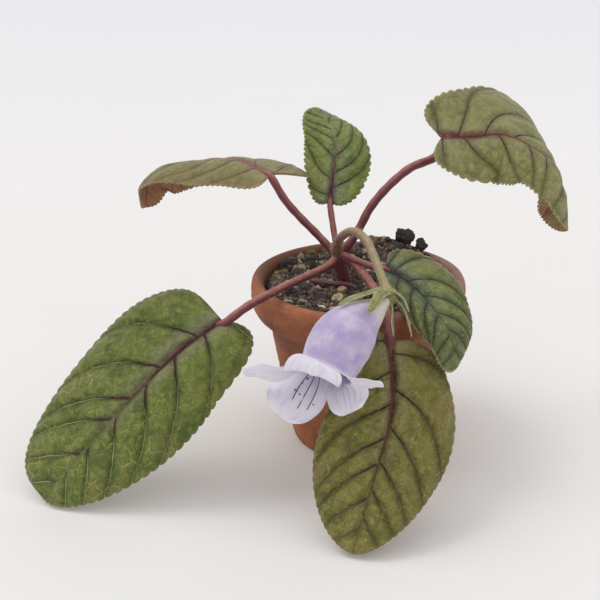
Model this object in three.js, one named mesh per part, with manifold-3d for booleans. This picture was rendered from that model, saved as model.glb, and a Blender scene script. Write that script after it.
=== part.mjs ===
// A small Sinningia eumorpha in a clay pot: six scalloped leaves on red stalks, and one
// nodding lavender flower. Millimetres, +Z up. The plant is laid out round the pot's own
// axis, with the foot of the pot on the ground, and the finished group is then moved so
// that the middle of its bounding box stands over the origin.

import * as THREE from 'three';
import { mergeVertices } from 'three/addons/utils/BufferGeometryUtils.js';
import Module from 'manifold-3d';

const wasm = await Module();
wasm.setup();

// Clay pot, a small one with a 66 mm rim
const POT_HEIGHT = 54;
const POT_RIM_RADIUS = 33;
const POT_FOOT_RADIUS = 20;
const POT_COLLAR_HEIGHT = 13;
const POT_SHOULDER_RADIUS = 27.5;
const POT_MOUTH_RADIUS = 29.3;
const POT_STEP_DEPTH = { top: 7, bottom: 14 };
const POT_STEP_INSET = { top: 0.8, bottom: 4.3 };
const POT_FLOOR_RADIUS = 17.5;
const POT_FLOOR_HEIGHT = 3.5;
const POT_DRAIN_RADIUS = 4.8;
const POT_SIDES = 40;

// Gap between neighbours that touch
const CLEARANCE = 0.3;
const WALL_GAP = 1.6;

// Gritty soil, heaped towards the back of the pot
const SOIL_LEVEL = 49;
const SOIL_SIDES = 28;
const SOIL_RINGS = [5, 10, 15, 19.5, 24, 27.4];
const HEAP = { x: 11, y: 21, height: 7, along: 15, across: 10 };
const SOIL_RIPPLE = { height: 0.5, across: 0.7, along: 0.6 };
const GRIT_COUNT = 42;
const GRIT_SIZE = { min: 1.1, max: 2.5 };
const GRIT_SINK = 0.35;
const GRIT_ROUGHNESS = 0.12;
const SEED = 7;

// Short main stem in the soil, where every stalk starts
const CROWN = [-6.0, 0.5, 60.2];
const STEM_FOOT = [-4.0, 2.0, 39.0];
const STEM_RADIUS = 2.2;
const STEM_HOLE_DEPTH = 10;
const CROWN_SWELL = 1.12;
const ROOT_SINK = 0.4;
const TUBE_SIDES = 8;

// Leaf blades: thickness, scalloped edge and the quilting between the side veins
const BLADE_THICKNESS = 0.8;
const MIDRIB_DEPTH = 0.6;
const TOOTH_LENGTH = 0.7;
const QUILT_HEIGHT = 0.5;
const VEIN_PAIRS = 7;
const BLADE_COLUMNS = [-1, -0.5, 0, 0.5, 1];
const LOBE_REACH = 3.2;
const ROW_SLANT = 1.35;

// Each leaf: the midrib from the stalk to the tip, the way its upper face looks at both
// ends, and its form as pairs of left half and right half. Widths are half widths, bias
// moves the widest place to the stalk, fullness squares the outline when it is small, and
// lobe is how far the blade reaches back past its stalk, as a share of its length. Fold
// and curl bend each half down, in degrees at the stalk and at the tip.
const LEAVES = {
  leaf_front_left: {
    midrib: [[-40.5, -28, 50.8], [-53.5, -35, 43], [-72.5, -40, 24], [-92.5, -46, 2.4]],
    face: [[-0.3, -0.65, 0.7], [-0.4, -0.75, 0.55]],
    width: [20.3, 24.3],
    bias: [0.87, 0.84],
    fullness: [1.1, 0.58],
    lobe: [0.09, 0.01],
    fold: [[5, 0], [-3, -7]],
    curl: [[21, 24], [14, 33]],
    teeth: 32,
    stalk: [
      [-8.9, -4, 58.6], [-18, -14, 57.8], [-24.5, -20.5, 57], [-33, -27, 54.6], [-40.5, -31, 51.2],
    ],
    stalkRadius: 1.3,
  },
  leaf_back_left: {
    midrib: [
      [-27, 8, 83.8], [-37, 13.5, 86.8], [-49, 19, 85.3], [-61.5, 22, 82.2], [-67.5, 23, 76],
      [-67.5, 22, 68.6],
    ],
    face: [[-0.14, -0.17, 0.98], [-0.6, 0.2, 0.8]],
    width: [13.2, 14.6],
    bias: [0.92, 0.75],
    fullness: [0.8, 0.8],
    lobe: [0.02, 0.2],
    fold: [[7, -10], [7, 60]],
    curl: [[23, 35], [16, 52]],
    teeth: 24,
    stalk: [[-8.2, 2, 61.3], [-13.4, 4, 66.4], [-18, 5, 70.9], [-22.6, 6, 76.1], [-27, 7.8, 83]],
    stalkRadius: 1.25,
  },
  leaf_back: {
    midrib: [[-8.6, 14.4, 72.5], [-7.6, 17.5, 80.7], [-7, 22.5, 91.6], [-13, 31.5, 98.8]],
    face: [[0, -0.95, 0.32], [0.4, -0.6, 0.7]],
    width: [9.6, 12],
    bias: [1.05, 0.95],
    fullness: [0.85, 1.2],
    lobe: [0.05, 0.04],
    fold: [[-4, -3], [-8, 18]],
    curl: [[21, 20], [17, 22]],
    teeth: 20,
    stalk: [[-7.2, 5.6, 64], [-7.9, 9.4, 67.7], [-8.6, 14.2, 72.1]],
    stalkRadius: 1,
  },
  leaf_back_right: {
    midrib: [
      [24.5, 4, 96.8], [33, 5.8, 96], [44, 6.5, 96.3], [55.8, 2.8, 90.3], [61, -3.2, 81],
      [61.5, -8.8, 71.5],
    ],
    face: [[0.08, -0.72, 0.69], [0.93, -0.14, 0.33]],
    width: [22.2, 15.5],
    bias: [1.02, 0.81],
    fullness: [1.15, 1.15],
    lobe: [0.13, 0.1],
    fold: [[-12, 31], [-8, 22]],
    curl: [[9, 68], [22, 50]],
    teeth: 28,
    stalk: [
      [-1.6, 1, 65.6], [0.6, 2, 69.4], [3.4, 3, 74.6], [8.4, 4.2, 80.6], [15.3, 5.8, 86.2],
      [21.6, 7.4, 90], [24.6, 5.3, 95.7],
    ],
    stalkRadius: 1.35,
  },
  leaf_right: {
    midrib: [
      [7.7, -15.2, 61.6], [13.7, -23.5, 60.4], [19.6, -33.6, 56.8], [24.2, -40.3, 50.7],
      [24.3, -42.5, 41],
    ],
    face: [[-0.35, -0.52, 0.77], [0.45, -0.82, 0.33]],
    width: [12.8, 7.6],
    bias: [0.93, 1.02],
    fullness: [1.1, 1.1],
    lobe: [0.13, 0.02],
    fold: [[-3, 17], [-8, 7]],
    curl: [[22, 50], [22, 46]],
    teeth: 24,
    stalk: [[-4.3, -3, 61.1], [-1.5, -6.5, 61.2], [1.4, -10, 61.2], [4.2, -13, 61.2], [7, -15, 61.5]],
    stalkRadius: 1.05,
  },
  leaf_front: {
    midrib: [[7.2, -38, 48.4], [8.2, -42, 38.5], [7.3, -49.5, 30], [2.5, -60.5, 18], [-4, -73.5, 1.8]],
    face: [[0.2, -0.8, 0.56], [-0.12, -0.6, 0.79]],
    width: [18.3, 18.3],
    bias: [0.84, 1.02],
    fullness: [1.15, 1.15],
    lobe: [0.01, 0.1],
    fold: [[-4, -12], [-7, -7]],
    curl: [[15, 16], [12, 21]],
    teeth: 30,
    stalk: [
      [-1.7, -5, 59.3], [1, -13, 58.8], [4.2, -24, 57.6], [6, -31, 56.6], [7.2, -36, 53],
      [7.2, -38.2, 49.2],
    ],
    stalkRadius: 1.35,
  },
};

// Flower stalk, a hook that rises from the crown and lets the flower nod over the rim
const FLOWER_STALK = [
  [-6.7, -1, 61.7], [-6.8, -2, 64], [-6.2, -3.5, 66.5], [-5, -6, 68.9], [-3.5, -9, 70.9], [-1.9, -12, 72],
  [-0.3, -16, 72.4], [1.3, -20, 71.7], [2.5, -24, 70.1], [3.7, -28.5, 68.1], [4.9, -33.5, 65.7],
  [6.2, -38, 63.4],
];
const FLOWER_STALK_RADIUS = 1.2;

// Flower: a tube that swells from the calyx to its mouth and bends down, and five lobes.
// The upper side of the tube is the one that looks up and outwards from the pot.
const TUBE_LINE = [
  [6.8, -39, 62.1], [2.4, -41.5, 59.4], [-2.6, -44.5, 56.2], [-7.1, -48, 52], [-10.7, -53, 46.6],
];
const TUBE_UP = [0.06, -0.84, 0.55];
const TUBE_PROFILE = [[0, 1.5], [0.1, 2.2], [0.3, 5], [0.48, 7.7], [0.66, 8.7], [0.85, 8.4], [1, 7.6]];
const TUBE_BULGE = 0.06;
const TUBE_COLUMNS = 24;
const TUBE_ROWS = 8;
const TUBE_HOLLOW_FROM = 0.2;
const TUBE_HOLLOW_END = 0.16;
const FLOWER_GAP = 1.3;
const PETAL_THICKNESS = 0.7;
const PETAL_ROWS = 10;
const SEPAL_ROWS = 6;

// Each lobe's midline from inside the mouth to its tip, as distances from the middle of the
// mouth to the right, to the upper side and onwards, the way its right edge lies when its
// outer face is up, and its half width. The two upper lobes roll back, the side ones spread
// and the lower one hangs.
const LOBES = [
  {
    line: [
      [-2.4, 6.8, -3], [-3, 7.6, 2], [-3.2, 8.6, 4.6], [-3.4, 10.2, 5.4], [-3.5, 11.6, 4.2],
      [-3.5, 12.2, 2.4],
    ],
    side: [-1, -0.2, 0.12],
    width: 8,
    fullness: 0.45,
    curl: 12,
  },
  {
    line: [[5, 4.4, -3], [6, 5, 0], [8.8, 6, 0.2], [12, 6.6, -0.3], [15.2, 6.8, -1.4]],
    side: [-0.4, 0.9, 0.1],
    width: 4.2,
    fullness: 0.8,
    curl: 10,
  },
  {
    line: [[6, -4.1, -3], [6.8, -3.8, 0.6], [8.4, -3.2, 3.2], [9.9, -2.6, 5.4], [11.2, -2.2, 6.8]],
    side: [0.85, 0.5, -0.7],
    width: 6,
    fullness: 0.7,
    curl: -12,
  },
  {
    line: [[-2, -6.7, -3], [-2.5, -6.8, 1], [-3.8, -6.2, 6], [-5, -5.4, 11], [-6, -4.6, 16.2]],
    side: [1, -0.1, 0],
    width: 8.2,
    fullness: 0.7,
    curl: -16,
  },
  {
    line: [[-6.6, 0.2, -3], [-8.2, 0.2, 2.6], [-11.4, 0.4, 6.2], [-15.6, 0.6, 8.8], [-20.2, 0.8, 10.6]],
    side: [0.1, -1, 0.2],
    width: 4.6,
    fullness: 0.7,
    curl: 12,
  },
];

// Calyx of five narrow sepals on a small cup
const CALYX_CENTRE = [6.9, -38.8, 62.4];
const CALYX_RADIUS = 2.4;
const CUP_DETAIL = 2;
const SEPAL_WIDTH = 1.9;
const SEPAL_THICKNESS = 0.6;
const SEPALS = [
  [[6.9, -39.5, 63.7], [6, -40.6, 64.8], [3.9, -42.9, 64.9], [2.6, -46, 63.8], [0.2, -50.3, 62.3]],
  [[7.6, -39, 63.4], [9.2, -40, 63.6], [10.9, -41, 62], [12.1, -42, 59.2]],
  [[8, -39.4, 62.4], [10.2, -40.6, 60.4], [12, -41.8, 56.4], [13, -42.8, 52]],
  [[7.4, -39.8, 61.4], [7.6, -42, 58.8], [7.6, -43.1, 56], [7.9, -43.6, 52.6]],
  [[6.6, -38.8, 63.9], [4.9, -39.8, 65.3], [1.4, -41.4, 65.2], [-2.9, -43.6, 64.6], [-7.6, -47.3, 63.3]],
];

// Stamens and style, joined in one slim column inside the tube
const COLUMN_RADIUS = 0.6;
const ANTHER_RADIUS = 1.5;
const COLUMN_REACH = [0.19, 0.78];

// Young shoot that lies on the soil, and two cut stubs of old stems
const SHOOT = [
  [0.6, -1.2, 47.4], [-1.2, -2.1, 50], [-4.4, -2.6, 51.5], [-7.4, -1.7, 51.5], [-10.4, 0, 51.2],
  [-13.4, 1.7, 50.9], [-16, 3.7, 50.7],
];
const SHOOT_RADIUS = 1.05;
const STUBS = {
  cut_stub_tall: { from: [-4.8, -6, 46], to: [-5.5, -7.4, 52.4], radius: 1.25 },
  cut_stub_short: { from: [-5.4, -9.2, 46], to: [-6.9, -11.4, 51], radius: 1.9 },
};

// Loose pieces on the soil: middle, half sizes and turn about the upright axis
const PIECES = {
  bark_chunk_large: { at: [15.6, 22, 58], size: [3.8, 3.3, 3.6], turn: 20, detail: 1, colour: 0x2b2523 },
  bark_chunk_small: { at: [21.2, 20.2, 56.5], size: [2.3, 2.1, 2.3], turn: 65, detail: 1, colour: 0x2d2624 },
  tan_stone: { at: [4.8, 19, 57.5], size: [2.4, 2.1, 2.7], turn: -15, detail: 1, colour: 0x9a8467 },
};
const ROUGHNESS_OF_PIECES = 0.16;

const COLOURS = {
  clay: 0xb5673f,
  soil: 0x2e2824,
  leaf: 0x6b7d42,
  stalk: 0x8a4a4c,
  flowerStalk: 0x9a8a5c,
  sepal: 0x8fa05a,
  petal: 0xc9bce4,
  stamen: 0xece6d8,
  shoot: 0x6a3440,
  stub: 0xb59a78,
};

// Small helpers
const vec = (p) => new THREE.Vector3(p[0], p[1], p[2]);
const mix = (a, b, k) => a + (b - a) * k;
const radians = (degrees) => degrees * Math.PI / 180;

function random(seed) {
  let state = seed;
  return () => {
    state = (state * 16807) % 2147483647;
    return state / 2147483647;
  };
}

// Solids for joining and cutting
function toSolid(geometry) {
  const bare = geometry.clone();
  bare.deleteAttribute('normal');
  bare.deleteAttribute('uv');
  const merged = mergeVertices(bare, 1e-4);
  return new wasm.Manifold(new wasm.Mesh({
    numProp: 3,
    vertProperties: new Float32Array(merged.attributes.position.array),
    triVerts: new Uint32Array(merged.index.array),
  }));
}

function toGeometry(solid) {
  const mesh = solid.getMesh();
  const geometry = new THREE.BufferGeometry();
  geometry.setAttribute('position', new THREE.BufferAttribute(new Float32Array(mesh.vertProperties), 3));
  geometry.setIndex(new THREE.BufferAttribute(new Uint32Array(mesh.triVerts), 1));
  geometry.computeVertexNormals();
  return geometry;
}

function joinAll(solids) {
  return solids.reduce((whole, next) => whole.add(next));
}

// The largest body of a cut solid, without the loose scraps
function largest(solid) {
  const bodies = solid.decompose();
  return bodies.reduce((best, next) => (next.volume() > best.volume() ? next : best));
}

// A round tube along hand-placed points
function tube(points, radius, steps) {
  const path = new THREE.CatmullRomCurve3(points.map(vec), false, 'centripetal');
  const section = new THREE.Shape();
  section.absarc(0, 0, radius, 0, 2 * Math.PI);
  const settings = { steps, extrudePath: path, curveSegments: TUBE_SIDES / 2 };
  return new THREE.ExtrudeGeometry(section, settings);
}

// The same points with both ends moved outwards
function extended(points, reach) {
  const ends = [[points[0], points[1]], [points[points.length - 1], points[points.length - 2]]];
  const [first, last] = ends.map(([end, next]) => {
    const outward = vec(end).sub(vec(next)).normalize();
    return vec(end).addScaledVector(outward, reach).toArray();
  });
  return [first, ...points, last];
}

// A closed body between an upper and a lower sheet, whose first and last rows are points.
// point(row, column, face) gives the place, with face 1 for the upper and 0 for the lower.
function closedSheet(rows, columns, point) {
  const positions = [];
  const numbers = new Map();
  const number = (row, column, face) => {
    const end = row === 0 || row === rows;
    const key = `${row}/${end ? 0 : column}/${face}`;
    if (!numbers.has(key)) {
      const place = point(row, end ? (columns - 1) / 2 : column, face);
      numbers.set(key, positions.length / 3);
      positions.push(place.x, place.y, place.z);
    }
    return numbers.get(key);
  };
  const triangles = [];
  const add = (a, b, c) => {
    if (a !== b && b !== c && a !== c) triangles.push(a, b, c);
  };
  for (let i = 0; i < rows; i += 1) {
    for (let j = 0; j < columns - 1; j += 1) {
      for (const face of [1, 0]) {
        const a = number(i, j, face);
        const b = number(i, j + 1, face);
        const c = number(i + 1, j + 1, face);
        const d = number(i + 1, j, face);
        if (face === 1) {
          add(a, b, c);
          add(a, c, d);
        } else {
          add(a, c, b);
          add(a, d, c);
        }
      }
    }
    for (const [column, left] of [[0, true], [columns - 1, false]]) {
      const a = number(i, column, 1);
      const b = number(i + 1, column, 1);
      const c = number(i + 1, column, 0);
      const d = number(i, column, 0);
      if (left) {
        add(a, b, c);
        add(a, c, d);
      } else {
        add(a, c, b);
        add(a, d, c);
      }
    }
  }
  const geometry = new THREE.BufferGeometry();
  geometry.setAttribute('position', new THREE.Float32BufferAttribute(positions, 3));
  geometry.setIndex(triangles);
  geometry.computeVertexNormals();
  return geometry;
}

// A closed body over a row of rings, with a point at each end
function ringBody(start, rings, end) {
  const positions = [];
  const add = (...points) => points.forEach((p) => positions.push(p.x, p.y, p.z));
  const last = rings[rings.length - 1];
  for (let j = 0; j < last.length; j += 1) {
    const k = (j + 1) % last.length;
    add(start, rings[0][j], rings[0][k]);
    add(end, last[k], last[j]);
    for (let i = 0; i + 1 < rings.length; i += 1) {
      add(rings[i + 1][j], rings[i + 1][k], rings[i][k]);
      add(rings[i + 1][j], rings[i][k], rings[i][j]);
    }
  }
  const geometry = new THREE.BufferGeometry();
  geometry.setAttribute('position', new THREE.Float32BufferAttribute(positions, 3));
  return geometry;
}

// A bent leaf plane: distances along the midrib and across it become places in space
class Blade {
  constructor(leaf) {
    this.leaf = leaf;
    this.path = new THREE.CatmullRomCurve3(leaf.midrib.map(vec), false, 'centripetal');
    this.length = this.path.getLength();
  }

  place(along, across, lift) {
    const { leaf, path, length } = this;
    const inside = THREE.MathUtils.clamp(along, 0, length);
    const share = inside / length;
    const middle = path.getPointAt(share);
    const forward = path.getTangentAt(share);
    const up = leaf.side
      ? leaf.side.clone().cross(forward)
      : vec(leaf.face[0]).lerp(vec(leaf.face[1]), share);
    up.addScaledVector(forward, -up.dot(forward)).normalize();
    const side = new THREE.Vector3().crossVectors(forward, up);
    const half = across < 0 ? 0 : 1;
    const sign = across < 0 ? -1 : 1;
    const width = leaf.width[half];
    const fold = radians(mix(leaf.fold[half][0], leaf.fold[half][1], share));
    const curl = radians(mix(leaf.curl[half][0], leaf.curl[half][1], share));
    const turn = fold + curl * Math.abs(across) / width;
    const out = width * (Math.sin(turn) - Math.sin(fold)) / curl;
    const down = width * (Math.cos(fold) - Math.cos(turn)) / curl;
    const tilt = across === 0 ? 0 : turn;
    return middle.clone()
      .addScaledVector(forward, along - inside)
      .addScaledVector(side, sign * (out + lift * Math.sin(tilt)))
      .addScaledVector(up, lift * Math.cos(tilt) - down);
  }

  // Flat outline: where row t crosses the midrib, and where it meets the edge
  edge(t, half) {
    const { leaf, length } = this;
    const reach = Math.sin(Math.PI * Math.min(1, t * LOBE_REACH));
    const along = length * ((1 - Math.cos(Math.PI * t)) / 2 - leaf.lobe[half] * reach);
    const swell = Math.sin(Math.PI * t ** leaf.bias[half]);
    const across = leaf.width[half] * Math.max(0, swell) ** leaf.fullness[half];
    return { root: leaf.teeth ? length * t ** ROW_SLANT : along, along, across };
  }

  geometry(teeth, thickness, grow) {
    const rows = teeth > 0 ? teeth * 2 : this.leaf.rows;
    const columns = BLADE_COLUMNS.length;
    return closedSheet(rows, columns, (row, column, face) => {
      const t = row / rows;
      const u = BLADE_COLUMNS[column];
      const half = u < 0 ? 0 : 1;
      const away = Math.abs(u);
      const { root, along, across } = this.edge(t, half);
      const stretch = Math.hypot(along - root, across) || 1;
      const crest = teeth > 0 && row % 2 === 1 ? TOOTH_LENGTH * Math.sin(Math.PI * t) ** 0.3 : 0;
      const reach = away * (1 + away * (crest + grow) / stretch);
      const ends = Math.sin(Math.PI * t);
      const hill = Math.abs(Math.sin(Math.PI * VEIN_PAIRS * t));
      const quilt = teeth > 0 ? QUILT_HEIGHT * hill * ends * Math.sin(Math.PI * away) : 0;
      const rib = away === 0 && teeth > 0 ? MIDRIB_DEPTH * (1 - t) : 0;
      const lift = face === 1 ? quilt + grow : quilt - thickness - rib - grow;
      const tip = row === 0 ? -grow : row === rows ? grow : 0;
      return this.place(root + (along - root) * reach + tip, Math.sign(u) * across * reach, lift);
    });
  }
}

// Clay pot, turned
function potGeometry() {
  const collarBottom = POT_HEIGHT - POT_COLLAR_HEIGHT;
  const outline = [
    [POT_DRAIN_RADIUS, 0],
    [POT_FOOT_RADIUS - 0.8, 0],
    [POT_FOOT_RADIUS, 0.8],
    [POT_SHOULDER_RADIUS, collarBottom - 0.5],
    [POT_SHOULDER_RADIUS + 1.5, collarBottom - 0.2],
    [POT_RIM_RADIUS - 1.8, collarBottom + 1.4],
    [POT_RIM_RADIUS - 0.5, collarBottom + 3.4],
    [POT_RIM_RADIUS, collarBottom + 6],
    [POT_RIM_RADIUS, POT_HEIGHT - 1.8],
    [POT_RIM_RADIUS - 0.6, POT_HEIGHT - 0.4],
    [POT_RIM_RADIUS - 1.6, POT_HEIGHT],
    [POT_MOUTH_RADIUS + 0.9, POT_HEIGHT - 0.3],
    [POT_MOUTH_RADIUS, POT_HEIGHT - 1.5],
    [POT_MOUTH_RADIUS - POT_STEP_INSET.top, POT_HEIGHT - POT_STEP_DEPTH.top],
    [POT_MOUTH_RADIUS - POT_STEP_INSET.bottom, POT_HEIGHT - POT_STEP_DEPTH.bottom],
    [POT_FLOOR_RADIUS, POT_FLOOR_HEIGHT],
    [POT_DRAIN_RADIUS, POT_FLOOR_HEIGHT],
    [POT_DRAIN_RADIUS, 0],
  ];
  const lathe = new THREE.LatheGeometry(outline.map(([r, z]) => new THREE.Vector2(r, z)), POT_SIDES);
  return lathe.rotateX(Math.PI / 2);
}

// Height of the bare soil, before the grit
function soilHeight(x, y) {
  const distance = Math.hypot((x - HEAP.x) / HEAP.along, (y - HEAP.y) / HEAP.across);
  const waves = Math.sin(x * SOIL_RIPPLE.across + 1.3) * Math.cos(y * SOIL_RIPPLE.along);
  const ripple = SOIL_RIPPLE.height * waves;
  return SOIL_LEVEL + ripple + HEAP.height * Math.exp(-(distance ** 2));
}

function soilBody() {
  const gap = CLEARANCE * WALL_GAP;
  const outline = [
    [0, POT_FLOOR_HEIGHT + CLEARANCE],
    [POT_FLOOR_RADIUS - gap, POT_FLOOR_HEIGHT + CLEARANCE],
    [POT_MOUTH_RADIUS - POT_STEP_INSET.bottom - gap, POT_HEIGHT - POT_STEP_DEPTH.bottom],
    [POT_MOUTH_RADIUS - POT_STEP_INSET.top - gap, POT_HEIGHT - POT_STEP_DEPTH.top],
  ];
  for (let i = SOIL_RINGS.length - 1; i >= 0; i -= 1) outline.push([SOIL_RINGS[i], SOIL_LEVEL]);
  outline.push([0, SOIL_LEVEL]);
  const lathe = new THREE.LatheGeometry(outline.map(([r, z]) => new THREE.Vector2(r, z)), SOIL_SIDES);
  lathe.rotateX(Math.PI / 2);
  const place = lathe.attributes.position;
  for (let i = 0; i < place.count; i += 1) {
    if (place.getZ(i) > SOIL_LEVEL - 0.1) place.setZ(i, soilHeight(place.getX(i), place.getY(i)));
  }
  return toSolid(lathe);
}

// Rough pebble: a ball with its corners pushed in and out
function pebble(size, detail, roughness, next) {
  const ball = new THREE.IcosahedronGeometry(1, detail);
  ball.deleteAttribute('normal');
  ball.deleteAttribute('uv');
  const shape = mergeVertices(ball, 1e-4);
  const place = shape.attributes.position;
  for (let i = 0; i < place.count; i += 1) {
    const push = 1 + roughness * (2 * next() - 1);
    place.setX(i, place.getX(i) * push * size[0]);
    place.setY(i, place.getY(i) * push * size[1]);
    place.setZ(i, place.getZ(i) * push * size[2]);
  }
  return shape;
}

function gritSolids() {
  const next = random(SEED);
  const grains = [];
  for (let i = 0; i < GRIT_COUNT; i += 1) {
    const size = mix(GRIT_SIZE.min, GRIT_SIZE.max, next() ** 1.5);
    const limit = POT_MOUTH_RADIUS - 1.6 - size * 1.25;
    const radius = limit * Math.sqrt(next());
    const angle = 2 * Math.PI * next();
    const x = radius * Math.cos(angle);
    const y = radius * Math.sin(angle);
    const halves = [size, size * mix(0.75, 1, next()), size * mix(0.6, 0.85, next())];
    const shape = pebble(halves, 0, GRIT_ROUGHNESS, next);
    shape.rotateZ(2 * Math.PI * next());
    shape.translate(x, y, soilHeight(x, y) + size * GRIT_SINK);
    grains.push(toSolid(shape));
  }
  return grains;
}

function pieceGeometry(name, grow) {
  const { at, size, turn, detail } = PIECES[name];
  const next = random(SEED + name.length);
  const shape = pebble(size.map((s) => s + grow), detail, ROUGHNESS_OF_PIECES, next);
  return shape.rotateZ(radians(turn)).translate(at[0], at[1], at[2]);
}

function stubGeometry({ from, to, radius }, grow) {
  const direction = vec(to).sub(vec(from)).normalize();
  const start = vec(from).addScaledVector(direction, -grow);
  const end = vec(to).addScaledVector(direction, grow);
  const middle = start.clone().lerp(end, 0.5);
  return tube([start.toArray(), middle.toArray(), end.toArray()], radius + grow, 2);
}

// Soil with the grit grown into its top, the hole for the stem and the seats of what lies on it
function soilSolid() {
  const hole = tube([
    [STEM_FOOT[0], STEM_FOOT[1], STEM_FOOT[2] - CLEARANCE],
    [STEM_FOOT[0], STEM_FOOT[1], STEM_FOOT[2] + STEM_HOLE_DEPTH],
    [CROWN[0], CROWN[1], CROWN[2]],
  ], STEM_RADIUS + 2 * CLEARANCE, 6);
  const seats = [
    toSolid(hole),
    toSolid(tube(extended(SHOOT, CLEARANCE), SHOOT_RADIUS + CLEARANCE, 14)),
    ...Object.keys(PIECES).map((name) => toSolid(pieceGeometry(name, CLEARANCE))),
    ...Object.values(STUBS).map((stub) => toSolid(stubGeometry(stub, CLEARANCE))),
  ];
  return largest(joinAll([soilBody(), ...gritSolids()]).subtract(joinAll(seats)));
}

// Main stem with the six leaf stalks, cut just clear of the blades that they carry
function stemSolid(blades) {
  const stem = tube([
    STEM_FOOT,
    [STEM_FOOT[0], STEM_FOOT[1], STEM_FOOT[2] + STEM_HOLE_DEPTH],
    [mix(STEM_FOOT[0], CROWN[0], 0.8), mix(STEM_FOOT[1], CROWN[1], 0.8), CROWN[2] - 4],
    CROWN,
  ], STEM_RADIUS, 8);
  const knob = new THREE.IcosahedronGeometry(STEM_RADIUS * CROWN_SWELL, 1);
  knob.translate(CROWN[0], CROWN[1], CROWN[2]);
  const stalks = Object.values(LEAVES).map((leaf) => {
    const root = [CROWN[0], CROWN[1], CROWN[2] - ROOT_SINK];
    return toSolid(tube([root, ...leaf.stalk], leaf.stalkRadius, 3 + leaf.stalk.length));
  });
  const whole = joinAll([toSolid(stem), toSolid(knob), ...stalks]);
  return largest(whole.subtract(joinAll(blades)));
}

// Flower tube and limb, as one thin shell of one piece
function profileRadius(share) {
  for (let i = 1; i < TUBE_PROFILE.length; i += 1) {
    const [s0, r0] = TUBE_PROFILE[i - 1];
    const [s1, r1] = TUBE_PROFILE[i];
    if (share <= s1) {
      const k = (share - s0) / (s1 - s0);
      return mix(r0, r1, k * k * (3 - 2 * k) * 0.5 + k * 0.5);
    }
  }
  return TUBE_PROFILE[TUBE_PROFILE.length - 1][1];
}

class Flower {
  constructor() {
    this.line = new THREE.CatmullRomCurve3(TUBE_LINE.map(vec), false, 'centripetal');
    const forward = this.line.getTangentAt(0.7);
    this.up = vec(TUBE_UP);
    this.up.addScaledVector(forward, -this.up.dot(forward)).normalize();
  }

  // Outer surface: share runs from 0 at the calyx to 1 at the mouth, degrees go round from
  // the upper side to the right
  place(share, degrees) {
    const along = Math.min(share, 1);
    const forward = this.line.getTangentAt(along);
    const right = new THREE.Vector3().crossVectors(this.up, forward).normalize();
    const upward = new THREE.Vector3().crossVectors(forward, right);
    const outward = upward.multiplyScalar(Math.cos(radians(degrees)))
      .addScaledVector(right, Math.sin(radians(degrees)));
    const bulge = TUBE_BULGE * Math.cos(radians(degrees)) * Math.sin(Math.PI * along);
    return this.line.getPointAt(along).addScaledVector(outward, profileRadius(along) * (1 + bulge));
  }

  normal(share, degrees) {
    const step = 0.01;
    const upper = Math.min(1, share + step);
    const lower = Math.max(0.001, share - step);
    const ahead = this.place(upper, degrees).sub(this.place(lower, degrees));
    const round = this.place(share, degrees + 2).sub(this.place(share, degrees - 2));
    return ahead.cross(round).normalize();
  }

  // A place or a direction given from the middle of the mouth
  fromMouth([right, upper, onward], direction) {
    const forward = this.line.getTangentAt(1);
    const side = new THREE.Vector3().crossVectors(this.up, forward).normalize();
    const above = new THREE.Vector3().crossVectors(forward, side);
    const start = direction ? new THREE.Vector3() : this.line.getPointAt(1);
    return start.addScaledVector(side, right).addScaledVector(above, upper).addScaledVector(forward, onward);
  }

  shares() {
    return Array.from({ length: TUBE_ROWS + 1 }, (_, i) => i / TUBE_ROWS);
  }

  ring(share, depth) {
    return Array.from({ length: TUBE_COLUMNS }, (_, j) => {
      const degrees = 360 * j / TUBE_COLUMNS;
      return this.place(share, degrees).addScaledVector(this.normal(share, degrees), depth);
    });
  }

  // The thin tube, closed round its wall and open at the mouth
  tube() {
    const outer = this.shares().map((share) => this.ring(share, 0));
    const hollow = this.shares().filter((share) => share > TUBE_HOLLOW_FROM);
    const inner = hollow.map((share) => this.ring(share, -PETAL_THICKNESS));
    const rings = [...outer, ...inner.reverse()];
    return ringBody(this.line.getPointAt(0), rings, this.line.getPointAt(TUBE_HOLLOW_END));
  }

  lobe({ line, side, width, fullness, curl }) {
    const blade = new Blade({
      midrib: line.map((point) => this.fromMouth(point, false).toArray()),
      side: this.fromMouth(side, true).normalize(),
      rows: PETAL_ROWS,
      width: [width, width],
      bias: [1, 1],
      fullness: [fullness, fullness],
      lobe: [0, 0],
      fold: [[0, 0], [0, 0]],
      curl: [[curl, curl], [curl, curl]],
    });
    return blade.geometry(0, PETAL_THICKNESS, 0);
  }

  // The tube filled in and a little fatter, to cut its neighbours clear
  clearance() {
    const rings = this.shares().map((share) => this.ring(share, CLEARANCE * FLOWER_GAP));
    const start = this.line.getPointAt(0).addScaledVector(this.line.getTangentAt(0), -CLEARANCE);
    return ringBody(start, rings, this.line.getPointAt(1));
  }
}

function corollaSolid(flower) {
  const lobes = LOBES.map((lobe) => toSolid(flower.lobe(lobe)));
  return largest(joinAll([toSolid(flower.tube()), ...lobes]));
}

function sepalSolid(midrib) {
  const outward = vec(midrib[1]).sub(vec(TUBE_LINE[1])).normalize().toArray();
  const blade = new Blade({
    midrib,
    face: [outward, outward],
    rows: SEPAL_ROWS,
    width: [SEPAL_WIDTH, SEPAL_WIDTH],
    bias: [0.72, 0.72],
    fullness: [0.9, 0.9],
    lobe: [0, 0],
    fold: [[0, 0], [0, 0]],
    curl: [[20, 20], [20, 20]],
  });
  return toSolid(blade.geometry(0, SEPAL_THICKNESS, 0));
}

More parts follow.
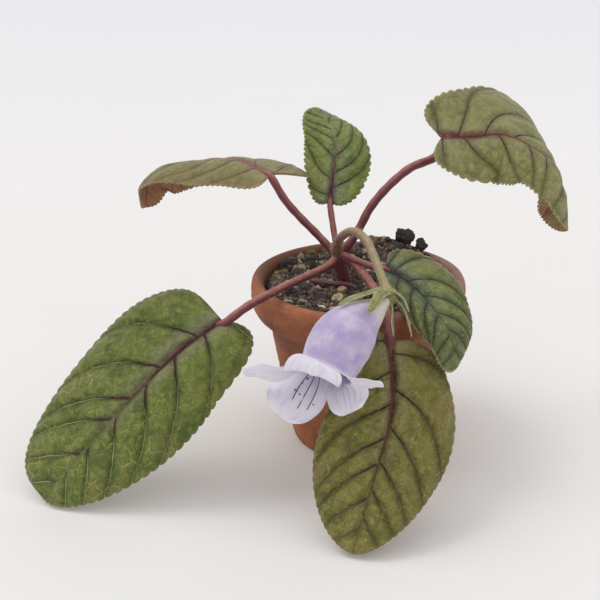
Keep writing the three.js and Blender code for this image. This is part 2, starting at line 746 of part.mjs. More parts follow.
function calyxSolid(flower) {
  const cup = new THREE.IcosahedronGeometry(CALYX_RADIUS, CUP_DETAIL);
  cup.translate(CALYX_CENTRE[0], CALYX_CENTRE[1], CALYX_CENTRE[2]);
  const whole = joinAll([toSolid(cup), ...SEPALS.map(sepalSolid)]);
  return largest(whole.subtract(toSolid(flower.clearance())));
}

function stamenSolid(flower) {
  const [low, high] = COLUMN_REACH;
  const shares = [low, mix(low, high, 0.33), mix(low, high, 0.67), high];
  const column = tube(shares.map((share) => flower.line.getPointAt(share).toArray()), COLUMN_RADIUS, 6);
  const anthers = new THREE.IcosahedronGeometry(ANTHER_RADIUS, 1);
  const top = flower.line.getPointAt(high);
  anthers.translate(top.x, top.y, top.z);
  return joinAll([toSolid(column), toSolid(anthers)]);
}

function flowerStalkSolid() {
  const stalk = toSolid(tube(FLOWER_STALK, FLOWER_STALK_RADIUS, 22));
  const cup = new THREE.IcosahedronGeometry(CALYX_RADIUS + CLEARANCE * FLOWER_GAP, CUP_DETAIL);
  cup.translate(CALYX_CENTRE[0], CALYX_CENTRE[1], CALYX_CENTRE[2]);
  return stalk.subtract(toSolid(cup));
}

// Put the plant together
const plant = new THREE.Group();

function addNode(name, geometry, colour, roughness) {
  const material = new THREE.MeshStandardMaterial({ color: colour, roughness, metalness: 0 });
  const mesh = new THREE.Mesh(geometry, material);
  mesh.name = name;
  plant.add(mesh);
}

const blades = Object.values(LEAVES).map((leaf) => new Blade(leaf));
const flower = new Flower();
const stalk = flowerStalkSolid();
const stalkCut = toSolid(tube(extended(FLOWER_STALK, CLEARANCE), FLOWER_STALK_RADIUS + CLEARANCE, 24));
const bladeCuts = blades.map((blade) => {
  return toSolid(blade.geometry(blade.leaf.teeth, BLADE_THICKNESS, CLEARANCE));
});

addNode('pot', potGeometry(), COLOURS.clay, 0.9);
addNode('soil', toGeometry(soilSolid()), COLOURS.soil, 1);
addNode('stem_and_stalks', toGeometry(stemSolid([...bladeCuts, stalkCut])), COLOURS.stalk, 0.6);
Object.keys(LEAVES).forEach((name, i) => {
  addNode(name, blades[i].geometry(LEAVES[name].teeth, BLADE_THICKNESS, 0), COLOURS.leaf, 0.6);
});
addNode('flower_stalk', toGeometry(stalk), COLOURS.flowerStalk, 0.6);
addNode('calyx', toGeometry(calyxSolid(flower)), COLOURS.sepal, 0.7);
addNode('corolla', toGeometry(corollaSolid(flower)), COLOURS.petal, 0.7);
addNode('stamens_and_style', toGeometry(stamenSolid(flower)), COLOURS.stamen, 0.7);
addNode('young_shoot', tube(SHOOT, SHOOT_RADIUS, 10), COLOURS.shoot, 0.6);
Object.entries(STUBS).forEach(([name, stub]) => addNode(name, stubGeometry(stub, 0), COLOURS.stub, 0.9));
Object.entries(PIECES).forEach(([name, piece]) => addNode(name, pieceGeometry(name, 0), piece.colour, 1));

// Stand the whole over the origin, on the foot of the pot
const box = new THREE.Box3().setFromObject(plant);
plant.position.set(-(box.min.x + box.max.x) / 2, -(box.min.y + box.max.y) / 2, 0);
plant.updateMatrixWorld(true);

export default plant;
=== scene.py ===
# %% [markdown]
# # A small Sinningia eumorpha in a clay pot
#
# This lesson dresses a potted plant in Blender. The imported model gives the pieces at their
# real size and place: a clay pot, gritty soil, six scalloped leaves on red stalks, and one
# nodding lavender flower. Each cell replaces one plain solid by a fine mesh with the same
# form, and gives it a finish that is worked out from what the real thing is.
#
# All places are written in millimetres from the axis of the pot, and turned into metres in
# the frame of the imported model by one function.

import bmesh
import bpy
import numpy as np
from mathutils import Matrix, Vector


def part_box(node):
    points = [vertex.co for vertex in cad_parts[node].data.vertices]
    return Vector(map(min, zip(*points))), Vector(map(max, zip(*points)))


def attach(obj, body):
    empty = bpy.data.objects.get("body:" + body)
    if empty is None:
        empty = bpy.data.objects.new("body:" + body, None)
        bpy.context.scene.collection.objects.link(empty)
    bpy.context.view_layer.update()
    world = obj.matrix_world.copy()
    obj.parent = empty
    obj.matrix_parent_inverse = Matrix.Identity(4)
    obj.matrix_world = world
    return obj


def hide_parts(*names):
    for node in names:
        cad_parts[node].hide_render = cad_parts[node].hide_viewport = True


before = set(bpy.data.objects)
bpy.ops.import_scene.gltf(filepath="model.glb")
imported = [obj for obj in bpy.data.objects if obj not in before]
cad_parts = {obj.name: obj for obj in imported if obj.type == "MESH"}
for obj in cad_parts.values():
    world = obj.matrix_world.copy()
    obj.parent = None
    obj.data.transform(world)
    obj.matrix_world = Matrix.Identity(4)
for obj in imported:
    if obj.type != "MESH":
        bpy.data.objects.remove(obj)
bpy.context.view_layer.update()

MM = 0.001
pot_low, pot_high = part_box("pot")
POT_AXIS = np.array([(pot_low.x + pot_high.x) / 2, (pot_low.y + pot_high.y) / 2, 0.0])
print("pot axis, mm:", [round(float(v) / MM, 2) for v in POT_AXIS])

# %% [markdown]
# ## Camera
#
# The photograph looks down on the plant by about 22 degrees from a little less than 40 cm,
# through a short telephoto lens. A camera is placed best by what it looks at, so the target,
# the distance and the elevation are the values, and the place follows from them.

# %% Place the camera
ELEVATION = np.radians(22.2)
VIEW_DISTANCE = 388.0
VIEW_TARGET = np.array([-18.0, 0.0, 45.5])
LENS_MM = 75.0
SENSOR_MM = 36.0
NEAREST_M = 0.01


def metres(points_mm):
    """Millimetres from the axis of the pot become metres in the frame."""
    return np.asarray(points_mm, float) * MM + POT_AXIS


def new_object(name, data):
    """An object in the scene that shows this data."""
    thing = bpy.data.objects.new(name, data)
    bpy.context.scene.collection.objects.link(thing)
    return thing


def set_camera():
    forward = np.array([0.0, np.cos(ELEVATION), -np.sin(ELEVATION)])
    data = bpy.data.cameras.new("view")
    data.lens = LENS_MM
    data.sensor_width = SENSOR_MM
    data.clip_start = NEAREST_M
    camera = new_object("view", data)
    camera.location = Vector(metres(VIEW_TARGET - VIEW_DISTANCE * forward))
    camera.rotation_euler = (np.pi / 2 - ELEVATION, 0.0, 0.0)
    bpy.context.scene.camera = camera
    return camera


camera = set_camera()
print("camera at, m:", [round(v, 3) for v in camera.location])

# %% [markdown]
# ## Nodes, colours and layers
#
# Every material is a small tree of nodes. One function adds a node with its settings, and
# its inputs are either plain values or the outputs of other nodes. Colours are written as
# the hex values that a paint program shows, and one function turns them to linear light.
#
# A real surface is one colour over another: a base, then mottling, then stains and lines.
# Each of these says the same: a colour, and where it lies. So a finish is written as a list
# of layers, with ramps that turn a noise or a distance into the strength of a layer.

# %% Functions for nodes, colours and layers
SMOOTH = "SMOOTHSTEP"


def linear(hex_colour):
    """sRGB hex to linear light, with alpha."""
    parts = [int(hex_colour[i:i + 2], 16) / 255 for i in (1, 3, 5)]
    return [p / 12.92 if p <= 0.04045 else ((p + 0.055) / 1.055) ** 2.4 for p in parts] + [1.0]


def fill(tree, node, inputs):
    """Set the inputs of a node: plain values, or the sockets to link."""
    for key, value in inputs.items():
        if isinstance(value, bpy.types.NodeSocket):
            tree.links.new(value, node.inputs[key])
        else:
            node.inputs[key].default_value = value


def add(tree, kind, inputs=None, out=0, **settings):
    """Add a node: settings are its properties, inputs are values or the sockets to link.

    Gives back output number out, or the node itself where out is None.
    """
    node = tree.nodes.new(kind)
    for name, value in settings.items():
        setattr(node, name, value)
    fill(tree, node, inputs or {})
    return node if out is None else node.outputs[out]


def strength(tree, *ramps):
    """Ramps multiplied with each other, as one socket.

    A ramp is a socket, the two values of it between which the layer comes or goes, the
    strength at these two, and SMOOTH where it eases in and out. It may also be the socket of
    a strength that is ready.
    """
    total = None
    for ramp in ramps:
        if isinstance(ramp, tuple):
            socket, start, end, low, high, *easing = ramp
            ramp = add(tree, "ShaderNodeMapRange", {
                0: socket, 1: start, 2: end, 3: low, 4: high,
            }, interpolation_type=easing[0] if easing else "LINEAR")
        total = ramp if total is None else add(
            tree, "ShaderNodeMath", {0: total, 1: ramp}, operation="MULTIPLY")
    return total


def paint(tree, colour, layers):
    """Lay colours over a first one. A layer is a colour and the ramps that say where it lies."""
    below = linear(colour) if isinstance(colour, str) else colour
    for above, *ramps in layers:
        above = linear(above) if isinstance(above, str) else above
        below = add(tree, "ShaderNodeMix", {
            0: strength(tree, *ramps), 6: below, 7: above}, out=2, data_type="RGBA")
    return below


def new_material(name):
    """An empty material with its shader, which the next cells wire up."""
    material = bpy.data.materials.new(name)
    material.use_nodes = True
    tree = material.node_tree
    tree.nodes.clear()
    shader = add(tree, "ShaderNodeBsdfPrincipled", out=None)
    add(tree, "ShaderNodeOutputMaterial", {"Surface": shader.outputs["BSDF"]}, out=None)
    return material, tree, shader


print("a mid green in linear light:", [round(c, 3) for c in linear("#6f8a45")])

# %% [markdown]
# ## Floor and light
#
# The plant stands on a white sheet in a photo studio. Most of the light comes from all
# sides, and a broad lamp at the upper left adds a sixth of it, so the shadows are pale, soft
# and fall to the right. A bright world gives the first. A sun lamp with a wide angle gives
# the second: it stays as bright everywhere, so the sheet shows no pool of light.

# %% Floor, world and lamp
WORLD_STRENGTH = 1.01
SUN_STRENGTH = 0.60
SUN_ANGLE = np.radians(28)
SUN_FROM = [-0.55, 0.05, 0.85]
FLOOR_HALF = 6.0


def make_floor():
    material, tree, shader = new_material("white_paper_backdrop")
    where = add(tree, "ShaderNodeTexCoord", out=3)
    grain = add(tree, "ShaderNodeTexNoise", {"Vector": where, "Scale": 9.0, "Detail": 4.0})
    depth = add(tree, "ShaderNodeSeparateXYZ", {0: where}, out=1)
    # Painted shade: the sheet turns a little greyer and bluer towards the back
    fill(tree, shader, {"Roughness": 0.7, "Base Color": paint(tree, "#e9e8e7", [
        ("#efeeee", grain), ("#e4e3ea", (depth, 0.15, 1.0, 0, 1))])})
    mesh = bpy.data.meshes.new("floor")
    corners = [(x * FLOOR_HALF, y * FLOOR_HALF, 0) for x, y in ((-1, -1), (1, -1), (1, 1), (-1, 1))]
    mesh.from_pydata(corners, [], [(0, 1, 2, 3)])
    mesh.materials.append(material)
    new_object("floor", mesh)


def make_sun():
    data = bpy.data.lights.new("broad_lamp", "SUN")
    data.energy = SUN_STRENGTH
    data.angle = SUN_ANGLE
    data.color = linear("#fffdf9")[:3]
    lamp = new_object("broad_lamp", data)
    lamp.rotation_euler = (-Vector(SUN_FROM)).to_track_quat("-Z", "Y").to_euler()


make_floor()
make_sun()
world = bpy.data.worlds.new("studio")
world.use_nodes = True
fill(world.node_tree, world.node_tree.nodes["Background"], {
    "Color": linear("#f2f1f0"), "Strength": WORLD_STRENGTH})
bpy.context.scene.world = world
bpy.context.scene.view_settings.view_transform = "Standard"
lamp_light = SUN_STRENGTH / np.pi
print("lamp share of the light:", round(lamp_light / (WORLD_STRENGTH + lamp_light), 2))

# %% [markdown]
# ## Smooth paths
#
# Stalks and midribs are drawn through a few given places. A Catmull-Rom curve passes
# through all of them, and its centripetal form makes no loops where they lie close. The
# curve is then walked at even steps, so that a distance along it is a real length.

# %% Paths through given points
PATH_STEPS = 40
TANGENT_STEP = 0.6


def stretch(p0, p1, p2, p3, t):
    """The piece of a centripetal Catmull-Rom curve between p1 and p2."""
    d0, d1, d2 = (np.linalg.norm(b - a) ** 0.5 for a, b in ((p0, p1), (p1, p2), (p2, p3)))
    leave = ((p1 - p0) / d0 - (p2 - p0) / (d0 + d1) + (p2 - p1) / d1) * d1
    arrive = ((p2 - p1) / d1 - (p3 - p1) / (d1 + d2) + (p3 - p2) / d2) * d1
    t = t[:, None]
    ends = (2 * t ** 3 - 3 * t ** 2 + 1) * p1 + (3 * t ** 2 - 2 * t ** 3) * p2
    return ends + (t ** 3 - 2 * t ** 2 + t) * leave + (t ** 3 - t ** 2) * arrive


class Path:
    """A smooth path in millimetres. at(distance) gives places and directions."""

    def __init__(self, points):
        p = np.array(points, float)
        p = np.vstack([2 * p[0] - p[1], p, 2 * p[-1] - p[-2]])
        t = np.arange(PATH_STEPS) / PATH_STEPS
        pieces = [stretch(*p[i:i + 4], t) for i in range(len(p) - 3)]
        self.places = np.vstack(pieces + [p[-2:-1]])
        steps = np.linalg.norm(np.diff(self.places, axis=0), axis=1)
        self.marks = np.concatenate([[0.0], np.cumsum(steps)])
        self.length = self.marks[-1]

    def read(self, distance):
        return np.stack([np.interp(distance, self.marks, self.places[:, k]) for k in range(3)], -1)

    def at(self, distance):
        distance = np.asarray(distance, float)
        inside = np.clip(distance, 0, self.length)
        ahead = self.read(np.clip(inside + TANGENT_STEP, 0, self.length))
        behind = self.read(np.clip(inside - TANGENT_STEP, 0, self.length))
        forward = unit(ahead - behind)
        return self.read(inside) + (distance - inside)[..., None] * forward, forward


def unit(vectors):
    return vectors / np.maximum(np.linalg.norm(vectors, axis=-1, keepdims=True), 1e-9)


print("a test path is", round(Path([[0, 0, 0], [10, 0, 0], [10, 10, 0]]).length, 2), "mm long")

# %% [markdown]
# ## Plain meshes
#
# Most pieces here are sheets: a grid of places that is bent in space. These helpers turn a
# grid into a mesh object in the frame, and keep numbers on its points for the materials to
# read.

# %% Helpers for meshes
def make_object(name, places_mm, faces, material, fields=None):
    """A smooth mesh object from places in millimetres, with named numbers on its points."""
    mesh = bpy.data.meshes.new(name)
    mesh.from_pydata(metres(places_mm).tolist(), [], [tuple(f) for f in faces])
    for label, values in (fields or {}).items():
        field = mesh.attributes.new(label, "FLOAT_VECTOR", "POINT")
        field.data.foreach_set("vector", np.asarray(values, np.float32).ravel())
    mesh.materials.append(material)
    mesh.shade_smooth()
    mesh.update()
    return new_object(name, mesh)


def grid_faces(rows, columns, wrap=False):
    """Quads of a grid of points, row after row; wrap joins the last column to the first."""
    i = np.arange(rows - 1)[:, None] * columns
    j = np.arange(columns if wrap else columns - 1)[None, :]
    k = (j + 1) % columns
    return np.stack([i + j, i + k, i + columns + k, i + columns + j], -1).reshape(-1, 4)


print("a grid of 3 by 4 places has", len(grid_faces(3, 4)), "faces")

# %% [markdown]
# ## Closed bodies
#
# A leaf or a petal has an upper and a lower skin. Both are the same grid at two heights, so
# one function gives the faces of both, and of the strips that sew them together round the
# edge. Points that lie on each other are joined. Round lumps start from a ball of even
# triangles.

# %% Helpers for closed bodies
def closed_faces(rows, columns, wrap=False, end=True):
    """Both skins of a sheet, the second turned over, and strips that sew them together.

    A wrapped sheet is sewn along its first ring. A flat one is sewn along its sides, and
    along its last row too, unless that row is a point. The points of the second skin come
    after those of the first.
    """
    grid = grid_faces(rows, columns, wrap)
    size = rows * columns
    side, ring = np.arange(rows) * columns, np.arange(columns)
    edges = [side, side[::-1] + columns - 1]
    if end:
        edges.append(ring + size - columns)
    if wrap:
        edges = [np.append(ring[::-1], columns - 1)]
    strips = [np.stack([e[:-1], e[1:], e[1:] + size, e[:-1] + size], -1) for e in edges]
    return np.vstack([grid, grid[:, ::-1] + size] + strips)


def join_parts(parts):
    """The places and faces of several parts as one list of each."""
    places, faces, count = [], [], 0
    for part_places, part_faces in parts:
        faces += [[int(corner) + count for corner in face] for face in part_faces]
        places.append(part_places)
        count += len(part_places)
    return np.vstack(places), faces


def merge_close(places, faces, fields, limit=0.004):
    """Join points that lie on each other, and drop the faces that this flattens."""
    keys = np.round(places / limit).astype(np.int64)
    _, first, back = np.unique(keys, axis=0, return_index=True, return_inverse=True)
    back = back.ravel()
    kept = []
    for face in faces:
        ring = []
        for corner in back[list(face)]:
            if corner not in ring:
                ring.append(int(corner))
        if len(ring) > 2:
            kept.append(ring)
    return places[first], kept, {label: values[first] for label, values in fields.items()}


def round_ball(fineness):
    """Places and faces of a ball of even triangles, with a radius of one."""
    ball = bmesh.new()
    bmesh.ops.create_icosphere(ball, subdivisions=fineness, radius=1.0)
    places = np.array([v.co for v in ball.verts])
    faces = [[v.index for v in face.verts] for face in ball.faces]
    ball.free()
    return places, faces


def finish(piece, node):
    """The piece rides on the root body, and stands for its CAD node where it has one."""
    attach(piece, "root")
    if node:
        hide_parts(node)
    print(piece.name, "has", len(piece.data.polygons), "faces")


print("faces of balls:", {fineness: len(round_ball(fineness)[1]) for fineness in (1, 2, 3)})

# %% [markdown]
# ## The form of a leaf
#
# A blade of this species is broad, quilted between its side veins, and cut into rounded
# scallops along the edge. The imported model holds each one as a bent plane: a midrib through a
# few places, a way that the upper face looks, and for each half a width, an outline and a
# bend. The same formula is worked out here on a much finer grid, which leaves room for the
# veins, the quilting and the round of every scallop. A lobe of the flower is such a plane
# too, but it says where its side points instead of where its face looks. Lengths are in
# millimetres and angles in degrees. Pairs are for the left and the right half, or for the
# foot and the tip of the blade.

# %% Leaves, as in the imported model
BLADE_THICKNESS = 0.6
MIDRIB_DEPTH = 0.5
LOBE_REACH = 3.2
ROW_SLANT = 1.35
SPINE_HALF = 0.8

LEAVES = {
    "leaf_front_left": dict(
        midrib=[[-40.5, -28, 50.8], [-53.5, -35, 43], [-72.5, -40, 24], [-92.5, -46, 2.4]],
        face=[[-0.3, -0.65, 0.7], [-0.4, -0.75, 0.55]], width=[20.3, 24.3], bias=[0.87, 0.84],
        fullness=[1.1, 0.58], lobe=[0.09, 0.01], fold=[[5, 0], [-3, -7]],
        curl=[[21, 24], [14, 33]], teeth=32),
    "leaf_back_left": dict(
        midrib=[[-27, 8, 83.8], [-37, 13.5, 86.8], [-49, 19, 85.3], [-61.5, 22, 82.2],
                [-67.5, 23, 76], [-67.5, 22, 68.6]],
        face=[[-0.14, -0.17, 0.98], [-0.6, 0.2, 0.8]], width=[13.2, 14.6], bias=[0.92, 0.75],
        fullness=[0.8, 0.8], lobe=[0.02, 0.2], fold=[[7, -10], [7, 60]],
        curl=[[23, 35], [16, 52]], teeth=24),
    "leaf_back": dict(
        midrib=[[-8.6, 14.4, 72.5], [-7.6, 17.5, 80.7], [-7, 22.5, 91.6], [-13, 31.5, 98.8]],
        face=[[0, -0.95, 0.32], [0.4, -0.6, 0.7]], width=[9.6, 12], bias=[1.05, 0.95],
        fullness=[0.85, 1.2], lobe=[0.05, 0.04], fold=[[-4, -3], [-8, 18]],
        curl=[[21, 20], [17, 22]], teeth=20),
    "leaf_back_right": dict(
        midrib=[[24.5, 4, 96.8], [33, 5.8, 96], [44, 6.5, 96.3], [55.8, 2.8, 90.3],
                [61, -3.2, 81], [61.5, -8.8, 71.5]],
        face=[[0.08, -0.72, 0.69], [0.93, -0.14, 0.33]], width=[22.2, 15.5], bias=[1.02, 0.81],
        fullness=[1.15, 1.15], lobe=[0.13, 0.1], fold=[[-12, 31], [-8, 22]],
        curl=[[9, 68], [22, 50]], teeth=28),
    "leaf_right": dict(
        midrib=[[7.7, -15.2, 61.6], [13.7, -23.5, 60.4], [19.6, -33.6, 56.8],
                [24.2, -40.3, 50.7], [24.3, -42.5, 41]],
        face=[[-0.35, -0.52, 0.77], [0.45, -0.82, 0.33]], width=[12.8, 7.6], bias=[0.93, 1.02],
        fullness=[1.1, 1.1], lobe=[0.13, 0.02], fold=[[-3, 17], [-8, 7]],
        curl=[[22, 50], [22, 46]], teeth=24),
    "leaf_front": dict(
        midrib=[[7.2, -38, 48.4], [8.2, -42, 38.5], [7.3, -49.5, 30], [2.5, -60.5, 18],
                [-4, -73.5, 1.8]],
        face=[[0.2, -0.8, 0.56], [-0.12, -0.6, 0.79]], width=[18.3, 18.3], bias=[0.84, 1.02],
        fullness=[1.15, 1.15], lobe=[0.01, 0.1], fold=[[-4, -12], [-7, -7]],
        curl=[[15, 16], [12, 21]], teeth=30),
}

print("teeth in the packed model:", {name: leaf["teeth"] for name, leaf in LEAVES.items()})

# %% [markdown]
# ## The bent plane
#
# A place on a blade is given by its distance along the midrib, its distance across, and its
# height over the face. Each half bends downwards in an arc: it leaves the midrib at the angle
# of its fold, and the curl is added on the way to the edge. So a distance across the blade
# stays a real length, as on a leaf that grew flat and then bent.

# %% From blade distances to places
class Blade:
    """A bent plane: distances along the midrib and across it become places in space."""

    def __init__(self, leaf):
        self.leaf = leaf
        self.path = Path(leaf["midrib"])
        self.length = self.path.length

    def pick(self, name, half):
        """The value for the left half or the right half, at every point."""
        left, right = self.leaf[name]
        return np.where(half == 0, left, right)

    def ramp(self, name, half, share):
        (left_low, left_high), (right_low, right_high) = self.leaf[name]
        low = np.where(half == 0, left_low, right_low)
        high = np.where(half == 0, left_high, right_high)
        return np.radians(low + (high - low) * share)

    def place(self, along, across, lift):
        """Places in space, lifted square to the face except close to the midrib."""
        along, across, lift = np.broadcast_arrays(along, across, lift)
        middle, forward = self.path.at(along)
        share = np.clip(along / self.length, 0, 1)
        if "side" in self.leaf:
            up = np.cross(np.broadcast_to(self.leaf["side"], forward.shape), forward)
        else:
            low, high = np.array(self.leaf["face"], float)
            up = low + (high - low) * share[..., None]
        up = unit(up - (up * forward).sum(-1, keepdims=True) * forward)
        side = np.cross(forward, up)
        half = (across >= 0).astype(int)
        sign = np.where(across < 0, -1.0, 1.0)
        width = self.pick("width", half)
        fold = self.ramp("fold", half, share)
        curl = self.ramp("curl", half, share)
        turn = fold + curl * np.abs(across) / width
        out = width * (np.sin(turn) - np.sin(fold)) / curl
        down = width * (np.cos(fold) - np.cos(turn)) / curl
        tilt = turn * np.clip(np.abs(across) / SPINE_HALF, 0, 1)
        shift = sign * (out + lift * np.sin(tilt))
        return middle + side * shift[..., None] + up * (lift * np.cos(tilt) - down)[..., None]

    def outline(self, t, half):
        """Where row t leaves the midrib, and the place on the edge where it ends."""
        reach = np.sin(np.pi * np.minimum(1, t * LOBE_REACH))
        along = self.length * ((1 - np.cos(np.pi * t)) / 2 - self.pick("lobe", half) * reach)
        swell = np.maximum(0, np.sin(np.pi * t ** self.pick("bias", half)))
        across = self.pick("width", half) * swell ** self.pick("fullness", half)
        return self.length * t ** ROW_SLANT, along, across


blades = {name: Blade(leaf) for name, leaf in LEAVES.items()}
print({name: round(blade.length, 1) for name, blade in blades.items()})

# %% [markdown]
# ## Where the side veins run
#
# On the real leaf the midrib sends out six or seven pairs of side veins. They leave it at an
# angle of about 50 degrees and arch more and more towards the tip, until they run along the
# edge, and the first pair turns back a little into the lobes beside the stalk. Drawing each
# as a line in the mesh would need far more points, so a smooth number is kept on the points
# instead: it grows by one from each vein to the next. The material draws a fine line
# wherever that number is whole, and the mesh sinks there.

# %% Vein numbers over a blade
VEIN_STARTS = [
    [-0.22, -0.015, 0.075, 0.215, 0.385, 0.55, 0.71, 0.85, 1.0, 1.2],
    [-0.2, 0.0, 0.125, 0.29, 0.45, 0.60, 0.76, 0.9, 1.05, 1.25],
]
VEIN_LEAN = [[-0.3, -0.02, 0.1, 0.3, 0.55], [-1.2, -0.25, 0.5, 0.75, 1.0]]
VEIN_ARCH = [[-0.2, 0.0, 0.15, 0.45, 0.7], [0.03, 0.08, 0.16, 0.28, 0.32]]
VEIN_CHANCE = 0.022
LEAST_GAP = 0.8


def vein_fields(name, blade, along, across):
    """For every point, the running number of side veins and the gap between them in mm.

    The length of the name gives the seed, so that the veins differ from leaf to leaf.
    """
    number = np.full_like(along, 0.5)
    gap = np.full_like(along, 4.0)
    for half in (0, 1):
        draw = np.random.default_rng(3 * len(name) + half)
        starts = np.array(VEIN_STARTS[half])
        chance = draw.uniform(-VEIN_CHANCE, VEIN_CHANCE, len(starts))
        starts = starts + chance * (starts > 0.02)
        width = blade.leaf["width"][half]
        away = np.abs(across)
        leans = np.interp(starts, *VEIN_LEAN)
        arches = blade.length * np.interp(starts, *VEIN_ARCH)
        lines = np.array([
            blade.length * start + lean * away + arch * (away / width) ** 4
            for start, lean, arch in zip(starts, leans, arches)])
        lines = np.maximum.accumulate(lines, axis=0)
        this = (across < 0) if half == 0 else (across >= 0)
        for k in range(len(starts) - 1):
            span = np.maximum(lines[k + 1] - lines[k], LEAST_GAP)
            slope = leans[k] + 4 * arches[k] * away ** 3 / width ** 4
            inside = this & (along >= lines[k]) & (along < lines[k + 1])
            number[inside] = (k + (along - lines[k]) / span)[inside]
            gap[inside] = (span / np.sqrt(1 + slope ** 2))[inside]
    return number, gap


print("vein lines in each half, some beyond the blade:", [len(s) for s in VEIN_STARTS])

# %% [markdown]
# ## One fine blade
#
# The grid has at least five rows for each scallop, so every tooth is round, and its columns
# run from edge to edge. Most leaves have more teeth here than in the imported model, close to
# the real count. Each place is lifted by the quilting between the side veins, which differs
# from leaf to leaf like the length of the teeth, and it is lowered along the midrib. The
# lower face lies the thickness of the leaf below it, with the midrib standing out as a keel,
# and the two faces are sewn together round the edge.

# %% Build a blade
RELIEF = {
    "leaf_front_left": (0.62, 1.1, 2.0), "leaf_back_left": (0.6, 1.5, 0.6),
    "leaf_back": (0.75, 1.3, 1.3), "leaf_back_right": (0.8, 1.5, 1.3),
    "leaf_right": (0.65, 1.4, 1.5), "leaf_front": (0.3, 1.2, 1.8),
}
LEAST_ROWS = 235
COLUMNS_PER_HALF = 42
COLUMN_CROWDING = 1.12
QUILT_REACH = 2.0
QUILT_FADE = 0.16
RIB_VALLEY = 1.1
VALLEY_DEPTH = 0.35
FACE_DROP = 0.05
THIN_RIM = 0.1


def blade_mesh(name, blade, material):
    """A closed, quilted and scalloped blade with its fields. Its last row is a point."""
    tooth_length, more, quilt_height = RELIEF[name]
    teeth = int(blade.leaf["teeth"] * more)
    rows = teeth * max(5, round(LEAST_ROWS / teeth))
    u = np.linspace(0, 1, COLUMNS_PER_HALF + 1) ** COLUMN_CROWDING
    u = np.concatenate([-u[:0:-1], u])
    t = np.linspace(0, 1, rows + 1)[:, None]
    half = np.broadcast_to((u >= 0).astype(int), (rows + 1, len(u)))
    root, edge_along, edge_across = blade.outline(t, half)
    away = np.abs(u)
    run = np.maximum(np.hypot(edge_along - root, edge_across), 1e-6)
    scallop = np.abs(np.sin(np.pi * (teeth * t % 1) ** 1.2)) ** 0.65
    crest = tooth_length * np.maximum(0, np.sin(np.pi * t)) ** 0.3 * scallop
    reach = away * (1 + away ** 5 * crest / run)
    along = root + (edge_along - root) * reach
    across = np.sign(u) * edge_across * reach
    number, gap = vein_fields(name, blade, along, across)
    from_vein = np.abs(number - np.round(number)) * gap
    ends = np.maximum(0, np.sin(np.pi * t)) ** 0.5
    rib = np.exp(-((across / RIB_VALLEY) ** 2))
    inner = ends * np.clip((1 - away) / QUILT_FADE, 0, 1) ** 0.7
    quilt = quilt_height * (1 - np.exp(-from_vein / QUILT_REACH))
    lift = quilt * inner * (1 - rib) - VALLEY_DEPTH * rib * (1 - t) - FACE_DROP
    thick = BLADE_THICKNESS * (0.55 + 0.45 * np.clip((1 - away) / THIN_RIM, 0, 1))
    thick = thick + MIDRIB_DEPTH * rib * (1 - t) ** 0.8
    skins = [blade.place(along, across, h).reshape(-1, 3) for h in (lift, lift - thick)]
    share = np.clip(along / blade.length, 0, 1)
    columns = {
        "flat": (along, across, np.ones_like(along)), "vein": (number, gap, share),
        "rim": (away + 0 * along, (1 - away) * run, 0 * along),
    }
    fields = {label: np.stack(v, -1).reshape(-1, 3) for label, v in columns.items()}
    fields = {label: np.vstack([v, v]) for label, v in fields.items()}
    fields["flat"][len(skins[0]):, 2] = 0
    places, kept, fields = merge_close(
        np.vstack(skins), closed_faces(rows + 1, len(u), end=False), fields)
    return make_object(name + "_blade", places, kept, material, fields)


print("scallops on each blade:", {
    name: int(leaf["teeth"] * RELIEF[name][1]) for name, leaf in LEAVES.items()})

# %% [markdown]
# ## The numbers on a leaf
#
# A leaf's pattern follows its veins, not the space round it. So the points keep how far they
# lie along and across the blade, the number of the side vein and the gap between two, and
# how near the edge is. The material reads these and adds noise, at the sizes of the real
# leaf: broad mottling of 7 mm, fine grain of 2 mm, and the areoles, the small fields between
# the finest veins, as the cells of two Voronoi patterns, 3.6 mm and 1.4 mm wide.

# %% Numbers and patterns of the leaf
AREOLE_MM = 3.6
MOTTLE_MM = 7.0
GRAIN_MM = 1.9


